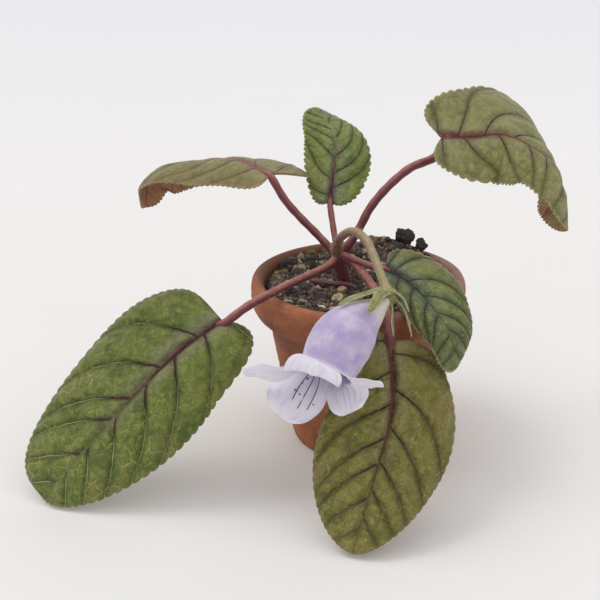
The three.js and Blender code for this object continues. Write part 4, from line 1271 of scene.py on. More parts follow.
# %% The corolla
def tube_places(depth):
    turns = []
    for lobe in LOBES:
        first, last = lobe["angles"]
        turns.append(first + (last - first) * np.arange(LOBE_COLUMNS) / LOBE_COLUMNS)
    degrees = np.concatenate(turns)[None, :]
    share = np.linspace(0, 1, TUBE_ROWS + 1)[:, None]
    wall = np.minimum(depth, 0.8 * tube_radius(share))[..., None]
    places = flower.place(share, degrees) - flower.normal(share, degrees) * wall
    return places, petal_numbers(share, degrees)


def corolla_mesh(material):
    """Outer and inner skin of the tube and its lobes, as one closed body."""
    parts, marks = [], []
    patches = [(tube_places, ())] + [(lobe_places, (lobe, i)) for i, lobe in enumerate(LOBES)]
    for make, values in patches:
        outer, numbers = make(*values, 0.0)
        inner, _ = make(*values, PETAL_THICKNESS)
        rows, columns = outer.shape[:2]
        skins = np.vstack([outer.reshape(-1, 3), inner.reshape(-1, 3)])
        parts.append((skins, closed_faces(rows, columns, wrap=make is tube_places)))
        for outside in (1.0, 0.0):
            marks.append(np.column_stack([
                numbers.reshape(-1, 3), np.full(rows * columns, outside)]))
    marks = np.vstack(marks)
    places, faces = join_parts(parts)
    places, faces, fields = merge_close(
        places, faces, {"bloom": marks[:, :3], "skin": marks[:, [3, 3, 3]]})
    return make_object("lavender_corolla", places, faces, material, fields)


print("places on the tube:", tube_places(0.0)[0].shape[:2])

# %% [markdown]
# ## Petal
#
# A petal has no green in it: thin cells full of water and a little violet dye, so it looks
# pale, soft and slightly see-through, with a faint sparkle from its velvety surface. This
# one is whitish green at the neck, lavender and mottled on the tube, nearly white on the
# lobes, and it has dark purple lines and dots in the throat to lead insects in.
#
# The lines run along the tube at even turns round it, so the turn is divided by their
# spacing, and a line lies wherever the result is whole. Noise ends them raggedly.

# %% Guide lines in the throat
THROAT_TURN = 20.0
THROAT_DRIFT = 28.0
THROAT_SPACING = 12.0
SIDE_TURN = -62.0
SIDE_SPACING = 9.5
FAN_LINES = 1.7
FAN_FADE = 0.2


def guide_lines(tree, where, run, turn):
    """Layers of dark lines and dots in the throat, and of faint lines on the right lobe."""
    shifted = add(tree, "ShaderNodeMath", {
        0: run, 1: THROAT_DRIFT, 2: -THROAT_DRIFT - THROAT_TURN}, operation="MULTIPLY_ADD")
    shifted = add(tree, "ShaderNodeMath", {0: turn, 1: shifted}, operation="ADD")
    beside = add(tree, "ShaderNodeMath", {0: turn, 1: SIDE_TURN}, operation="SUBTRACT")
    line, faint = (add(tree, "ShaderNodeMath", {
        0: add(tree, "ShaderNodeMath", {0: angle, 1: spacing}, operation="DIVIDE"), 1: 0.5,
    }, operation="PINGPONG") for angle, spacing in (
        (shifted, THROAT_SPACING), (beside, SIDE_SPACING)))
    fan, zone = (add(tree, "ShaderNodeMath", {0: angle}, operation="ABSOLUTE")
                 for angle in (shifted, beside))

    # The lines end raggedly on the lowest lobe, and rows of dots go on where they break up
    wander = add(tree, "ShaderNodeTexNoise", {"Vector": where, "Scale": 1 / (3.0 * MM)})
    reach = add(tree, "ShaderNodeMath", {0: wander, 1: 0.5, 2: run}, operation="MULTIPLY_ADD")
    broken = add(tree, "ShaderNodeTexVoronoi", {"Vector": where, "Scale": 1 / (2.2 * MM)})
    lines = strength(tree, (line, 0.04, 0.085, 1.0, 0.0), (reach, 1.72, 1.8, 1.0, 0.0))
    dots = strength(tree, (broken, 0.13, 0.19, 1.0, 0.0), (run, 1.1, 1.2, 0, 1),
                    (run, 1.5, 1.6, 1.0, 0.0))
    marks = add(tree, "ShaderNodeMath", {0: lines, 1: dots}, operation="MAXIMUM")
    outside = add(tree, "ShaderNodeSeparateXYZ", {
        0: add(tree, "ShaderNodeAttribute", out=1, attribute_name="skin")})
    inside = add(tree, "ShaderNodeMath", {0: 1.0, 1: outside}, operation="SUBTRACT")
    return [
        ("#4f2a72", marks, (
            fan, FAN_LINES * THROAT_SPACING, (FAN_LINES + FAN_FADE) * THROAT_SPACING, 1.0, 0.0,
        ), inside),
        ("#a78fd0", (faint, 0.03, 0.1, 0.8, 0.0), (zone, 10.0, 16.0, 1.0, 0.0),
         (run, 1.4, 1.8, 1.0, 0.0), inside),
    ]


print("dark lines in the fan of the throat:", 2 * int(FAN_LINES) + 1)

# %% [markdown]
# ## The petal's body
#
# The run from calyx to tip places the pale neck and the whiter lobes. Noise that is drawn
# out along the tube gives the fine veins, and tiny cells give the velvet.

# %% Petal material
def petal_skin():
    """Fresh petal: velvety, thin and watery, lavender with drawn purple guide lines."""
    material, tree, shader = new_material("fresh_petal")
    bloom_vector = add(tree, "ShaderNodeAttribute", out=1, attribute_name="bloom")
    run, *sine_cosine = add(tree, "ShaderNodeSeparateXYZ", {0: bloom_vector}, out=None).outputs
    where = add(tree, "ShaderNodeTexCoord", out=3)

    # The turn round the tube, in degrees from its lower side
    sine, cosine = (add(tree, "ShaderNodeMath", {0: part, 1: -1.0}, operation="MULTIPLY")
                    for part in sine_cosine)
    turn = add(tree, "ShaderNodeMath", {
        0: add(tree, "ShaderNodeMath", {0: sine, 1: cosine}, operation="ARCTAN2"),
        1: 180 / np.pi}, operation="MULTIPLY")

    # Mottling, and fine veins drawn out along the tube
    mottle = add(tree, "ShaderNodeTexNoise", {
        "Vector": where, "Scale": 1 / (5.0 * MM), "Detail": 4.0, "Roughness": 0.55})
    drawn = add(tree, "ShaderNodeVectorMath", {
        0: bloom_vector, 1: (0.35, 1.0, 1.0)}, operation="MULTIPLY")
    streaks = add(tree, "ShaderNodeTexNoise", {"Vector": drawn, "Scale": 9.0, "Detail": 3.0})

    # Velvet of tiny domed cells, drawn coarser than life so that it shows
    cells = add(tree, "ShaderNodeTexVoronoi", {"Vector": where, "Scale": 1 / (0.35 * MM)})
    height = add(tree, "ShaderNodeMath", {
        0: add(tree, "ShaderNodeMath", {0: streaks, 1: 2.5}, operation="MULTIPLY"), 1: cells,
    }, operation="SUBTRACT")
    fill(tree, shader, {
        "Base Color": paint(tree, "#cabfd6", [
            # Mottled lavender tube, pale green neck and whiter lobes
            ("#ad9dc6", (mottle, 0.36, 0.62, 0, 1)),
            ("#d6d7c4", (run, 0.12, 0.42, 0.92, 0.0, SMOOTH)),
            ("#e9e7f0", (run, 0.9, 1.35, 0.0, 0.82, SMOOTH)),
            ("#9f8fbb", (streaks, 0.5, 0.75, 0.0, 0.3)),
        ] + guide_lines(tree, where, run, turn)),
        "Normal": add(tree, "ShaderNodeBump", {
            "Height": height, "Strength": 0.3, "Distance": 0.2 * MM}),
        "Roughness": 0.55, "IOR": 1.4, "Sheen Weight": 0.25, "Subsurface Weight": 0.2,
        "Subsurface Radius": (0.9, 0.7, 1.0), "Subsurface Scale": 0.001})
    return material


finish(corolla_mesh(petal_skin()), "corolla")

# %% [markdown]
# ## Calyx
#
# Five narrow sepals stand on a small ribbed cup behind the flower. Each is a bent blade,
# pointed, keeled along its middle and wavy at its edge. They grow together at the cup, so
# the cup and the sepals are one piece.

# %% Sepals and cup
CALYX_CENTRE = np.array([6.9, -38.8, 62.4])
CALYX_RADIUS = 2.4
SEPAL_WIDTH = 1.55
SEPAL_THICKNESS = 0.35
SEPALS = [
    [[6.9, -39.5, 63.7], [6, -40.6, 64.8], [3.9, -42.9, 64.9], [2.6, -46, 63.8],
     [0.2, -50.3, 62.3]],
    [[7.6, -39, 63.4], [9.2, -40, 63.6], [10.9, -41, 62], [12.1, -42, 59.2]],
    [[8, -39.4, 62.4], [10.2, -40.6, 60.4], [12, -41.8, 56.4], [13, -42.8, 52]],
    [[7.4, -39.8, 61.4], [7.6, -42, 58.8], [7.6, -43.1, 56], [7.9, -43.6, 52.6]],
    [[6.6, -38.8, 63.9], [4.9, -39.8, 65.3], [1.4, -41.4, 65.2], [-2.9, -43.6, 64.6],
     [-7.6, -47.3, 63.3]],
]
SEPAL_ROWS = 48
SEPAL_COLUMNS = 14


def sepal_sheet(midrib, index):
    """Both faces of one sepal, with numbers for how far each point is along and across."""
    outward = unit(np.array(midrib[1]) - np.array(TUBE_LINE[1]))
    blade = Blade(dict(
        midrib=midrib, face=[outward, outward], width=[SEPAL_WIDTH] * 2, bias=[0.72, 0.72],
        fullness=[0.9, 0.9], lobe=[0, 0], fold=[[0, 0]] * 2, curl=[[20, 20]] * 2))
    t = np.linspace(0.0, 0.998, SEPAL_ROWS + 1)[:, None]
    u = np.linspace(-1, 1, SEPAL_COLUMNS + 1)[None, :]
    _, along, across = blade.outline(t, np.zeros(u.shape, int))
    wave = 0.14 * np.abs(u) ** 2 * np.sin(14 * t + index) * np.sin(np.pi * t)
    keel = 0.22 * np.exp(-((u / 0.2) ** 2)) * np.sin(np.pi * t)
    thick = SEPAL_THICKNESS * (1 - 0.45 * np.abs(u) ** 4)
    skins = [blade.place(along + 0 * u, across * u, h) for h in (wave + keel, wave - thick)]
    return np.array(skins), np.stack(np.broadcast_arrays(t, u, 0.0), -1).reshape(-1, 3)


def calyx_mesh(material):
    """Five sepals on their cup."""
    parts, numbers = [], []
    for index, midrib in enumerate(SEPALS):
        skins, number = sepal_sheet(midrib, index)
        parts.append((skins.reshape(-1, 3), closed_faces(*skins.shape[1:3])))
        numbers += [number, number]
    places, faces = join_parts(parts)
    places, faces, fields = merge_close(places, faces, {"sepal": np.vstack(numbers)})
    ball, ball_faces = round_ball(4)
    ribs = 1 + 0.05 * np.cos(10 * np.arctan2(ball[:, 1], ball[:, 2]))
    cup = ball * (CALYX_RADIUS * ribs)[:, None] + CALYX_CENTRE
    places, faces = join_parts([(places, faces), (cup, ball_faces)])
    on_cup = np.tile([[0.05, 0.3, 0.0]], (len(cup), 1))
    fields = {"sepal": np.vstack([fields["sepal"], on_cup])}
    return make_object("green_calyx", places, faces, material, fields)


print("sepals:", len(SEPALS), "with", SEPAL_ROWS * SEPAL_COLUMNS, "faces on each side")

# %% [markdown]
# ## The skin of a sepal
#
# The sepals are the same soft green as the end of the flower stalk. They are paler at the
# edge, where they are thin, and along the midrib.

# %% Sepal material
def sepal_skin():
    """Fresh sepal: soft green like a young leaf, paler where it thins at the edge."""
    material, tree, shader = new_material("fresh_sepal_skin")
    across = add(tree, "ShaderNodeSeparateXYZ", {
        0: add(tree, "ShaderNodeAttribute", out=1, attribute_name="sepal")}, out=1)
    edge = add(tree, "ShaderNodeMath", {0: across}, operation="ABSOLUTE")
    where = add(tree, "ShaderNodeTexCoord", out=3)
    tone = add(tree, "ShaderNodeTexNoise", {
        "Vector": where, "Scale": 1 / (1.6 * MM), "Detail": 4.0})
    fill(tree, shader, {
        "Base Color": paint(tree, "#5f6a30", [
            ("#968f56", (tone, 0.35, 0.65, 0, 1)),
            ("#c3bd98", (edge, 0.7, 1.0, 0.0, 0.6)),
            ("#b0ab78", (edge, 0.0, 0.12, 0.6, 0.0))]),
        "Normal": add(tree, "ShaderNodeBump", {
            "Height": tone, "Strength": 0.4, "Distance": 0.2 * MM}),
        "Roughness": 0.5, "Sheen Weight": 0.2, "Subsurface Weight": 0.1,
        "Subsurface Scale": 0.001})
    return material


finish(calyx_mesh(sepal_skin()), "calyx")

# %% [markdown]
# ## Stamens and style
#
# Inside the tube four filaments and the style rise as a slim bundle, and the four anthers
# are joined face to face in a little block, as in much of the family. They can be seen from
# in front, through the mouth.

# %% Stamens and style
COLUMN_REACH = [0.19, 0.78]
STYLE_RADIUS = 0.3
FILAMENT_RADIUS = 0.22
ANTHER_RADIUS = 1.35


def stamen_runs():
    """Four filaments that bow apart round the style, which stands in the middle."""
    marks = np.linspace(*COLUMN_REACH, 7) * flower.path.length
    places, forward = flower.path.at(marks)
    right = unit(np.cross(flower.up, forward))
    above = np.cross(forward, right)
    runs = []
    for k in range(5):
        turn = 2 * np.pi * k / 4
        spread, radius = (0.0, STYLE_RADIUS) if k == 4 else (0.34, FILAMENT_RADIUS)
        swell = spread * (1 + 0.5 * np.sin(np.pi * np.linspace(0, 1, 7)))[:, None]
        offset = swell * (np.cos(turn) * right + np.sin(turn) * above)
        runs.append(((places + offset).tolist(), lambda m, length, r=radius: r + 0 * m))
    return runs


def anther_block():
    """Four anthers, each a small bean, set round the end of the bundle."""
    middle, forward = flower.path.at(COLUMN_REACH[1] * flower.path.length)
    right = unit(np.cross(flower.up, forward))
    above = np.cross(forward, right)
    shape, faces = round_ball(3)
    parts = []
    for i in (-1, 1):
        for j in (-1, 1):
            bean = shape * [0.42, 0.36, 0.62] * ANTHER_RADIUS
            bean[:, 0] -= 0.12 * np.cos(bean[:, 2] * 2.2) * i
            centre = middle + 0.4 * ANTHER_RADIUS * (i * right + j * above)
            places = centre + bean[:, :1] * right + bean[:, 1:2] * above + bean[:, 2:] * forward
            parts.append((places, faces))
    return join_parts(parts)


cream_stamen = stalk_skin("cream_filament_skin", ("#ddd6bd", "#f1ecd9", "#efe9cf"))
bundle = run_tree(stalk_tree, make_line_object("stamen_lines", stamen_runs()), "stamen_bundle", {
    "Sides": 12, "Skin": cream_stamen, "Hair": plant_hair})
finish(bundle, "stamens_and_style")
dusted = stalk_skin("pollen_dusted_anther", ("#c9bb82", "#eee3ae", "#efe6bd"), 0.2)
finish(make_object("joined_anthers", *anther_block(), dusted), None)

# %% [markdown]
# ## Clay pot
#
# The form of the pot is turned, so one outline goes round the axis. The outline is the packed
# one with its corners rounded, and a slow wobble of a tenth of a millimetre takes the
# machine-made look away.

# %% Form of the pot
POT_OUTLINE = [
    (4.8, 0.0), (19.2, 0.0), (20.0, 0.8), (27.5, 40.5), (29.0, 40.8), (31.2, 42.4), (32.5, 44.4),
    (33.0, 47.0), (33.0, 52.2), (32.4, 53.6), (31.4, 54.0), (30.2, 53.7), (29.3, 52.5),
    (28.5, 47.0), (25.0, 40.0), (17.5, 3.5), (4.8, 3.5),
]
POT_COLUMNS = 192
POT_STEP_MM = 0.9


def rounded_outline(corners, step):
    """Points along a closed outline, a step apart, with its corners a little rounded."""
    loop = np.array(corners + corners[:1], float)
    points = []
    for a, b in zip(loop[:-1], loop[1:]):
        count = max(1, int(np.linalg.norm(b - a) / step))
        points.append(a + (b - a) * (np.arange(count) / count)[:, None])
    points = np.vstack(points)
    sharp = points[:, 1] < 0.01
    for _ in range(2):
        soft = (np.roll(points, 1, 0) + 2 * points + np.roll(points, -1, 0)) / 4
        points = np.where(sharp[:, None], points, soft)
    return points


def pot_mesh(material):
    outline = rounded_outline(POT_OUTLINE, POT_STEP_MM)
    turn = 2 * np.pi * np.arange(POT_COLUMNS) / POT_COLUMNS
    radius, height = outline[:, :1], outline[:, 1:]
    throw = 0.05 * np.sin(height * 2.4) + 0.03 * np.sin(height * 5.7 + 1)
    wobble = 0.10 * np.sin(2 * turn + 0.4) + 0.05 * np.sin(5 * turn + height * 0.1)
    away = np.clip((radius - 6) / 6, 0, 1) * np.clip(height / 2, 0, 1)
    radius = radius + (throw + wobble) * away
    places = np.stack([
        radius * np.cos(turn), radius * np.sin(turn), height + 0 * turn], -1)
    faces = grid_faces(len(outline) + 1, POT_COLUMNS, wrap=True) % (len(outline) * POT_COLUMNS)
    return make_object("clay_pot", places.reshape(-1, 3), faces, material)


print("places on the pot's outline:", len(rounded_outline(POT_OUTLINE, POT_STEP_MM)))

# %% [markdown]
# ## Fired clay
#
# The pot is red earthenware, thrown or pressed and fired once without a glaze. Such clay is
# porous: it dries in mottles, takes up water and salts, and goes pinkish grey at the rim. So
# three noises make the mottles, spots and turning lines, one more layer makes the inside
# wall and the body under the collar a duller, darker brown, and one lays lime on the lip.

# %% Clay material
def fired_clay():
    """Red earthenware, turned and fired unglazed: dry, mottled, with faint turning lines."""
    material, tree, shader = new_material("fired_red_earthenware")
    where = add(tree, "ShaderNodeTexCoord", out=3)
    sideways, _, height = add(tree, "ShaderNodeSeparateXYZ", {0: where}, out=None).outputs
    flattened = add(tree, "ShaderNodeVectorMath", {
        0: where, 1: (0.08, 0.08, 1.0)}, operation="MULTIPLY")
    cloud, spot, lines, grain = (add(tree, "ShaderNodeTexNoise", {
        "Vector": vector, "Scale": 1 / (size * MM), "Detail": detail, "Roughness": rough,
    }) for vector, size, detail, rough in (
        (where, 16, 6.0, 0.62), (where, 2.4, 5.0, 0.65), (flattened, 0.7, 3.0, 0.5),
        (where, 0.45, 3.0, 0.5)))
    axis = tuple(float(v) for v in POT_AXIS[:2]) + (0.0,)
    flat = add(tree, "ShaderNodeVectorMath", {0: where, 1: (1.0, 1.0, 0.0)}, operation="MULTIPLY")
    radius = add(tree, "ShaderNodeVectorMath", {0: flat, 1: axis}, out=1, operation="DISTANCE")
    relief = add(tree, "ShaderNodeMath", {0: grain, 1: lines}, operation="ADD")
    fill(tree, shader, {
        "Base Color": paint(tree, "#7d4431", [
            ("#ab693e", (cloud, 0.35, 0.65, 0, 1)),
            ("#b07a58", (spot, 0.5, 0.75, 0.0, 0.5)),
            ("#6f4032", (lines, 0.5, 0.7, 0.0, 0.3)),
            # Duller, darker brown on the inside wall and on the body under the collar
            ("#6f4a3d", (radius, 30.4 * MM, 31.8 * MM, 1.0, 0.0),
             (height, 30 * MM, 46 * MM, 0, 1), (cloud, 0.3, 0.6, 0.55, 0.9)),
            # Pinkish grey lime on one side of the lip
            ("#9c8077", (height, 51.5 * MM, 53.2 * MM, 0, 1),
             (sideways, axis[0] - 5 * MM, axis[0] + 18 * MM, 0.1, 0.85),
             (spot, 0.35, 0.6, 0.3, 1.0))]),
        "Normal": add(tree, "ShaderNodeBump", {
            "Height": relief, "Strength": 0.35, "Distance": 0.2 * MM}),
        "Roughness": add(tree, "ShaderNodeMapRange", {0: spot, 1: 0.3, 2: 0.7, 3: 0.72, 4: 0.88}),
        "IOR": 1.5})
    return material


finish(pot_mesh(fired_clay()), "pot")

# %% [markdown]
# ## Soil
#
# Gesneriads are grown in a gritty mix: dark peat and bark fines with perlite and crushed
# stone. Seen from a step away it is a dark, rough ground with pale and tan grains on it.
# The ground is one closed body whose top is raised by a few waves of noise, and the loose
# grains come after it.

# %% Soil body
SOIL_LEVEL = 49.0
SOIL_SINK = 0.7
SOIL_FLOOR = 3.9
SOIL_LUMPS = [(1.9, 2.6), (0.8, 1.2), (0.35, 0.6)]
HEAP = dict(x=11, y=21, height=7, along=15, across=10)
BANKS = [(-19, 17, 2.6, 8.0), (-26, 2, 1.8, 6.0), (2, 24, 1.5, 9.0)]
SOIL_EDGE = 27.9
SOIL_RINGS = 84
SOIL_COLUMNS = 220


def soil_height(x, y):
    """The heap at the back, banks against the wall and the wavy ground."""
    heap = HEAP["height"] * np.exp(-(((x - HEAP["x"]) / HEAP["along"]) ** 2
                                     + ((y - HEAP["y"]) / HEAP["across"]) ** 2))
    ground = SOIL_LEVEL + heap + 0.5 * np.sin(x * 0.7 + 1.3) * np.cos(y * 0.6)
    for bank_x, bank_y, rise, reach in BANKS:
        ground = ground + rise * np.exp(-(((x - bank_x) ** 2 + (y - bank_y) ** 2) / reach ** 2))
    return ground


def crumble(x, y, size, seed):
    """Rough ground in lumps about the given size in mm, from 0 to 1."""
    draw = np.random.default_rng(seed).uniform(0, 1, (101, 3))
    i, j = np.floor(x / size), np.floor(y / size)
    best = np.zeros_like(x)
    for di in (-1, 0, 1):
        for dj in (-1, 0, 1):
            pick = draw[((i + di) * 37 + (j + dj) * 61).astype(int) % len(draw)]
            away = np.hypot(x / size - i - di - pick[..., 0], y / size - j - dj - pick[..., 1])
            reach = 0.45 + 0.4 * pick[..., 2]
            best = np.maximum(best, np.sqrt(np.maximum(0, 1 - (away / reach) ** 2)) * reach)
    return best


def soil_top():
    """A round grid of places on the rough top of the soil."""
    ring = np.linspace(0, 1, SOIL_RINGS + 1)[1:, None] ** 0.8 * SOIL_EDGE
    turn = 2 * np.pi * np.arange(SOIL_COLUMNS)[None, :] / SOIL_COLUMNS
    x, y = ring * np.cos(turn), ring * np.sin(turn)
    rough = sum(rise * crumble(x, y, size, seed)
                for seed, (rise, size) in enumerate(SOIL_LUMPS, 1))
    fade = np.clip((SOIL_EDGE - ring) / 0.8, 0.2, 1)
    return np.stack([x, y, soil_height(x, y) - SOIL_SINK + rough * fade], -1)


def soil_mesh(material):
    top = soil_top()
    turn = 2 * np.pi * np.arange(SOIL_COLUMNS) / SOIL_COLUMNS
    rings = [top]
    for radius, height in ((SOIL_EDGE, 47.0), (24.5, 40.0), (17.0, SOIL_FLOOR)):
        ring = np.stack([radius * np.cos(turn), radius * np.sin(turn), 0 * turn + height], -1)
        rings.append(ring[None])
    grid = np.vstack(rings)
    middle = top[0].mean(0)
    places = np.vstack([grid.reshape(-1, 3), middle, [0, 0, SOIL_FLOOR]])
    faces = grid_faces(len(grid), SOIL_COLUMNS, wrap=True)[:, ::-1].tolist()
    last = (len(grid) - 1) * SOIL_COLUMNS
    count = len(places) - 2
    for j in range(SOIL_COLUMNS):
        k = (j + 1) % SOIL_COLUMNS
        faces.append([j, k, count])
        faces.append([last + k, last + j, count + 1])
    return make_object("gritty_soil_body", places, faces, material)


print("places on the top of the soil:", soil_top().shape[:2])

# %% [markdown]
# ## The look of soil and stones
#
# Moist peat, bark and broken stone have no gloss. Their colour comes in small patches, and
# each kind has three colours and a size of patch: about a millimetre in the soil, up to two
# in a stone. Their relief is the same noise with fine cells, a third as wide, for grains.

# %% Soil and stone material
def soil_skin(name, colours, size_mm, rough=0.9):
    """Moist peat and fines, or a crushed grain: no gloss, colour in small patches."""
    material, tree, shader = new_material(name)
    where = add(tree, "ShaderNodeTexCoord", out=3)
    patch = add(tree, "ShaderNodeTexNoise", {
        "Vector": where, "Scale": 1 / (size_mm * MM), "Detail": 5.0, "Roughness": 0.7})
    grain = add(tree, "ShaderNodeTexVoronoi", {"Vector": where, "Scale": 1 / (0.3 * size_mm * MM)})
    height = add(tree, "ShaderNodeMath", {0: patch, 1: grain}, operation="ADD")
    fill(tree, shader, {
        "Base Color": paint(tree, colours[0], [
            (colours[1], (patch, 0.35, 0.65, 0, 1)), (colours[2], (patch, 0.6, 0.72, 0.0, 0.8))]),
        "Normal": add(tree, "ShaderNodeBump", {
            "Height": height, "Strength": 0.7, "Distance": 0.3 * MM}),
        "Roughness": rough})
    return material


dark_soil = soil_skin("moist_peat_and_fines", ("#37302b", "#6f5f55", "#ab9880"), 1.2)
finish(soil_mesh(dark_soil), "soil")

# %% [markdown]
# ## Loose grains
#
# Crumbs of peat, bark fines and crushed stone lie on the ground in all sizes, many small
# and few large. Geometry Nodes scatter them: points on the top of the soil, one lumpy ball
# that is turned and scaled by chance for each, and everything made real at the end. Each
# ball has only 20 or 80 faces, since there are thousands.

# %% Crumbs by Geometry Nodes
GRAIN_LEAN = (0.6, 0.6, 3.1)
FEW_LARGE = 2.2


def make_crumb_tree():
    tree, start, end = new_node_tree("loose_grains", {
        "Grains per m2": 1000.0, "Smallest": 0.0003, "Largest": 0.0008, "Detail": 1,
        "Seed": 1, "Grain": None,
    })
    points = add(tree, "GeometryNodeDistributePointsOnFaces", {
        "Mesh": start.outputs["Geometry"], "Density": start.outputs["Grains per m2"],
        "Seed": start.outputs["Seed"]}, out=None)
    ball = add(tree, "GeometryNodeMeshIcoSphere", {
        "Radius": 1.0, "Subdivisions": start.outputs["Detail"]})
    lump = add(tree, "ShaderNodeTexNoise", {"Scale": 1.3, "Detail": 1.0}, out=1)
    lump = add(tree, "ShaderNodeVectorMath", {
        0: lump, 1: (0.5, 0.5, 0.5)}, operation="SUBTRACT")
    ball = add(tree, "GeometryNodeSetPosition", {"Geometry": ball, "Offset": lump})
    chance = add(tree, "FunctionNodeRandomValue", {
        2: 0.0, 3: 1.0, 8: start.outputs["Seed"]}, out=1)
    skewed = add(tree, "ShaderNodeMath", {0: chance, 1: FEW_LARGE}, operation="POWER")
    size = add(tree, "ShaderNodeMapRange", {
        0: skewed, 3: start.outputs["Smallest"], 4: start.outputs["Largest"]})
    shape = add(tree, "FunctionNodeRandomValue", {
        0: (0.7, 0.6, 0.5), 1: (1.2, 1.1, 0.9), 8: start.outputs["Seed"],
    }, data_type="FLOAT_VECTOR")
    shape = add(tree, "ShaderNodeVectorMath", {0: shape, 3: size}, operation="SCALE")
    turn = add(tree, "FunctionNodeRandomValue", {
        0: tuple(-angle for angle in GRAIN_LEAN), 1: GRAIN_LEAN, 8: start.outputs["Seed"],
    }, data_type="FLOAT_VECTOR")
    grains = add(tree, "GeometryNodeInstanceOnPoints", {
        "Points": points.outputs["Points"], "Instance": ball, "Rotation": turn, "Scale": shape})
    grains = add(tree, "GeometryNodeRealizeInstances", {0: grains})
    grains = add(tree, "GeometryNodeSetMaterial", {
        "Geometry": grains, "Material": start.outputs["Grain"]})
    tree.links.new(grains, end.inputs[0])
    return tree


def soil_patch():
    """An open copy of the top of the soil for the tree to scatter on."""
    top = soil_top()[:-3]
    faces = grid_faces(len(top), SOIL_COLUMNS, wrap=True)[:, ::-1]
    return make_object("soil_patch", top.reshape(-1, 3), faces, dark_soil)


crumb_tree = make_crumb_tree()
GRAINS = {
    "peat_crumbs": (("#473a34", "#948073", "#cdbaa4"), {
        "Grains per m2": 1e6, "Smallest": 0.00025, "Largest": 0.0016, "Detail": 1, "Seed": 4}),
    "bark_fines": (("#2b2423", "#5f5047", "#a08c78"), {
        "Grains per m2": 3.3e5, "Smallest": 0.0003, "Largest": 0.0023, "Detail": 1, "Seed": 9}),
    "mossy_grains": (("#5a5f40", "#86875c", "#aaa678"), {
        "Grains per m2": 1.1e5, "Smallest": 0.0003, "Largest": 0.0010, "Detail": 1, "Seed": 15}),
    "pale_grit": (("#a3937a", "#cfc4ac", "#ece6d6"), {
        "Grains per m2": 1.7e5, "Smallest": 0.00035, "Largest": 0.0016, "Detail": 2, "Seed": 21}),
}
for grain_name, (colours, sizes) in GRAINS.items():
    sizes["Grain"] = soil_skin("crushed_" + grain_name, colours, 0.8, 0.85)
    finish(run_tree(crumb_tree, soil_patch(), grain_name, sizes), None)

# %% [markdown]
# ## Stones and bark
#
# A few larger pieces are placed one by one, where the real ones lie. Crushed stone and bark
# break along flat faces, so each starts as a ball and is cut flat by eleven planes, then
# roughened a little. The two chunks of bark are rotten and covered with crumbs: round bulges
# of two sizes about random directions.

# %% Stones and bark, placed one by one
STONE_CUTS = 11
STONE_WAVES = 6
WAVE_HEIGHT = 0.05


def broken_stone(centre, size, turn, seed, crumbs=0):
    """A broken lump: places and faces, with half sizes in mm. Crumbs cover it where asked."""
    shape, faces = round_ball(6 if crumbs else 4)
    draw = np.random.default_rng(seed)
    planes = unit(draw.normal(size=(STONE_CUTS, 3)))
    for plane, depth in zip(planes, draw.uniform(0.62, 0.88, STONE_CUTS)):
        shape = shape - np.maximum(0, shape @ plane - depth)[:, None] * plane
    waves = draw.normal(size=(STONE_WAVES, 3)) * 4
    for wave in waves:
        shape = shape * (1 + WAVE_HEIGHT * np.sin(shape @ wave + wave[0]) / 2)[:, None]
    for count in (crumbs, 5 * crumbs):
        middles = unit(draw.normal(size=(count, 3)))
        away = np.arccos(np.clip(unit(shape) @ middles.T, -1, 1)) * np.sqrt(count + 1) / 2.6
        tall = draw.uniform(0.3, 1.0, count)
        crumb = np.sqrt(np.clip(1 - away ** 2, 0, 1)) * tall
        shape = shape * (1 + 1.3 * crumb.max(1, initial=0) / np.sqrt(count + 1))[:, None]
    shape = shape / np.abs(shape).max(0)
    c, s = np.cos(np.radians(turn)), np.sin(np.radians(turn))
    shape = shape * size @ np.array([[c, s, 0], [-s, c, 0], [0, 0, 1]])
    return shape + centre, faces


bark_skin = soil_skin("dark_pine_bark", ("#292223", "#4a3f3f", "#78695f"), 1.0)
LUMPS = {
    "bark_chunk_large": ([15.6, 22, 58], [3.8, 3.3, 3.6], 20, bark_skin, "bark"),
    "bark_chunk_small": ([21.2, 20.2, 56.5], [2.3, 2.1, 2.3], 65, bark_skin, "bark"),
    "tan_stone": ([4.8, 19, 57.5], [2.4, 2.1, 2.7], -15, soil_skin(
        "tan_limestone", ("#7c6a52", "#a38f70", "#bcae92"), 2.0, 0.8), "pebble"),
}
for seed, (lump_name, (centre, size, turn, skin, slot)) in enumerate(LUMPS.items()):
    crumbs = 26 if slot == "bark" else 0
    places, faces = broken_stone(centre, size, turn, seed + 40, crumbs=crumbs)
    finish(make_object(lump_name + "_piece", places, faces, skin), lump_name)

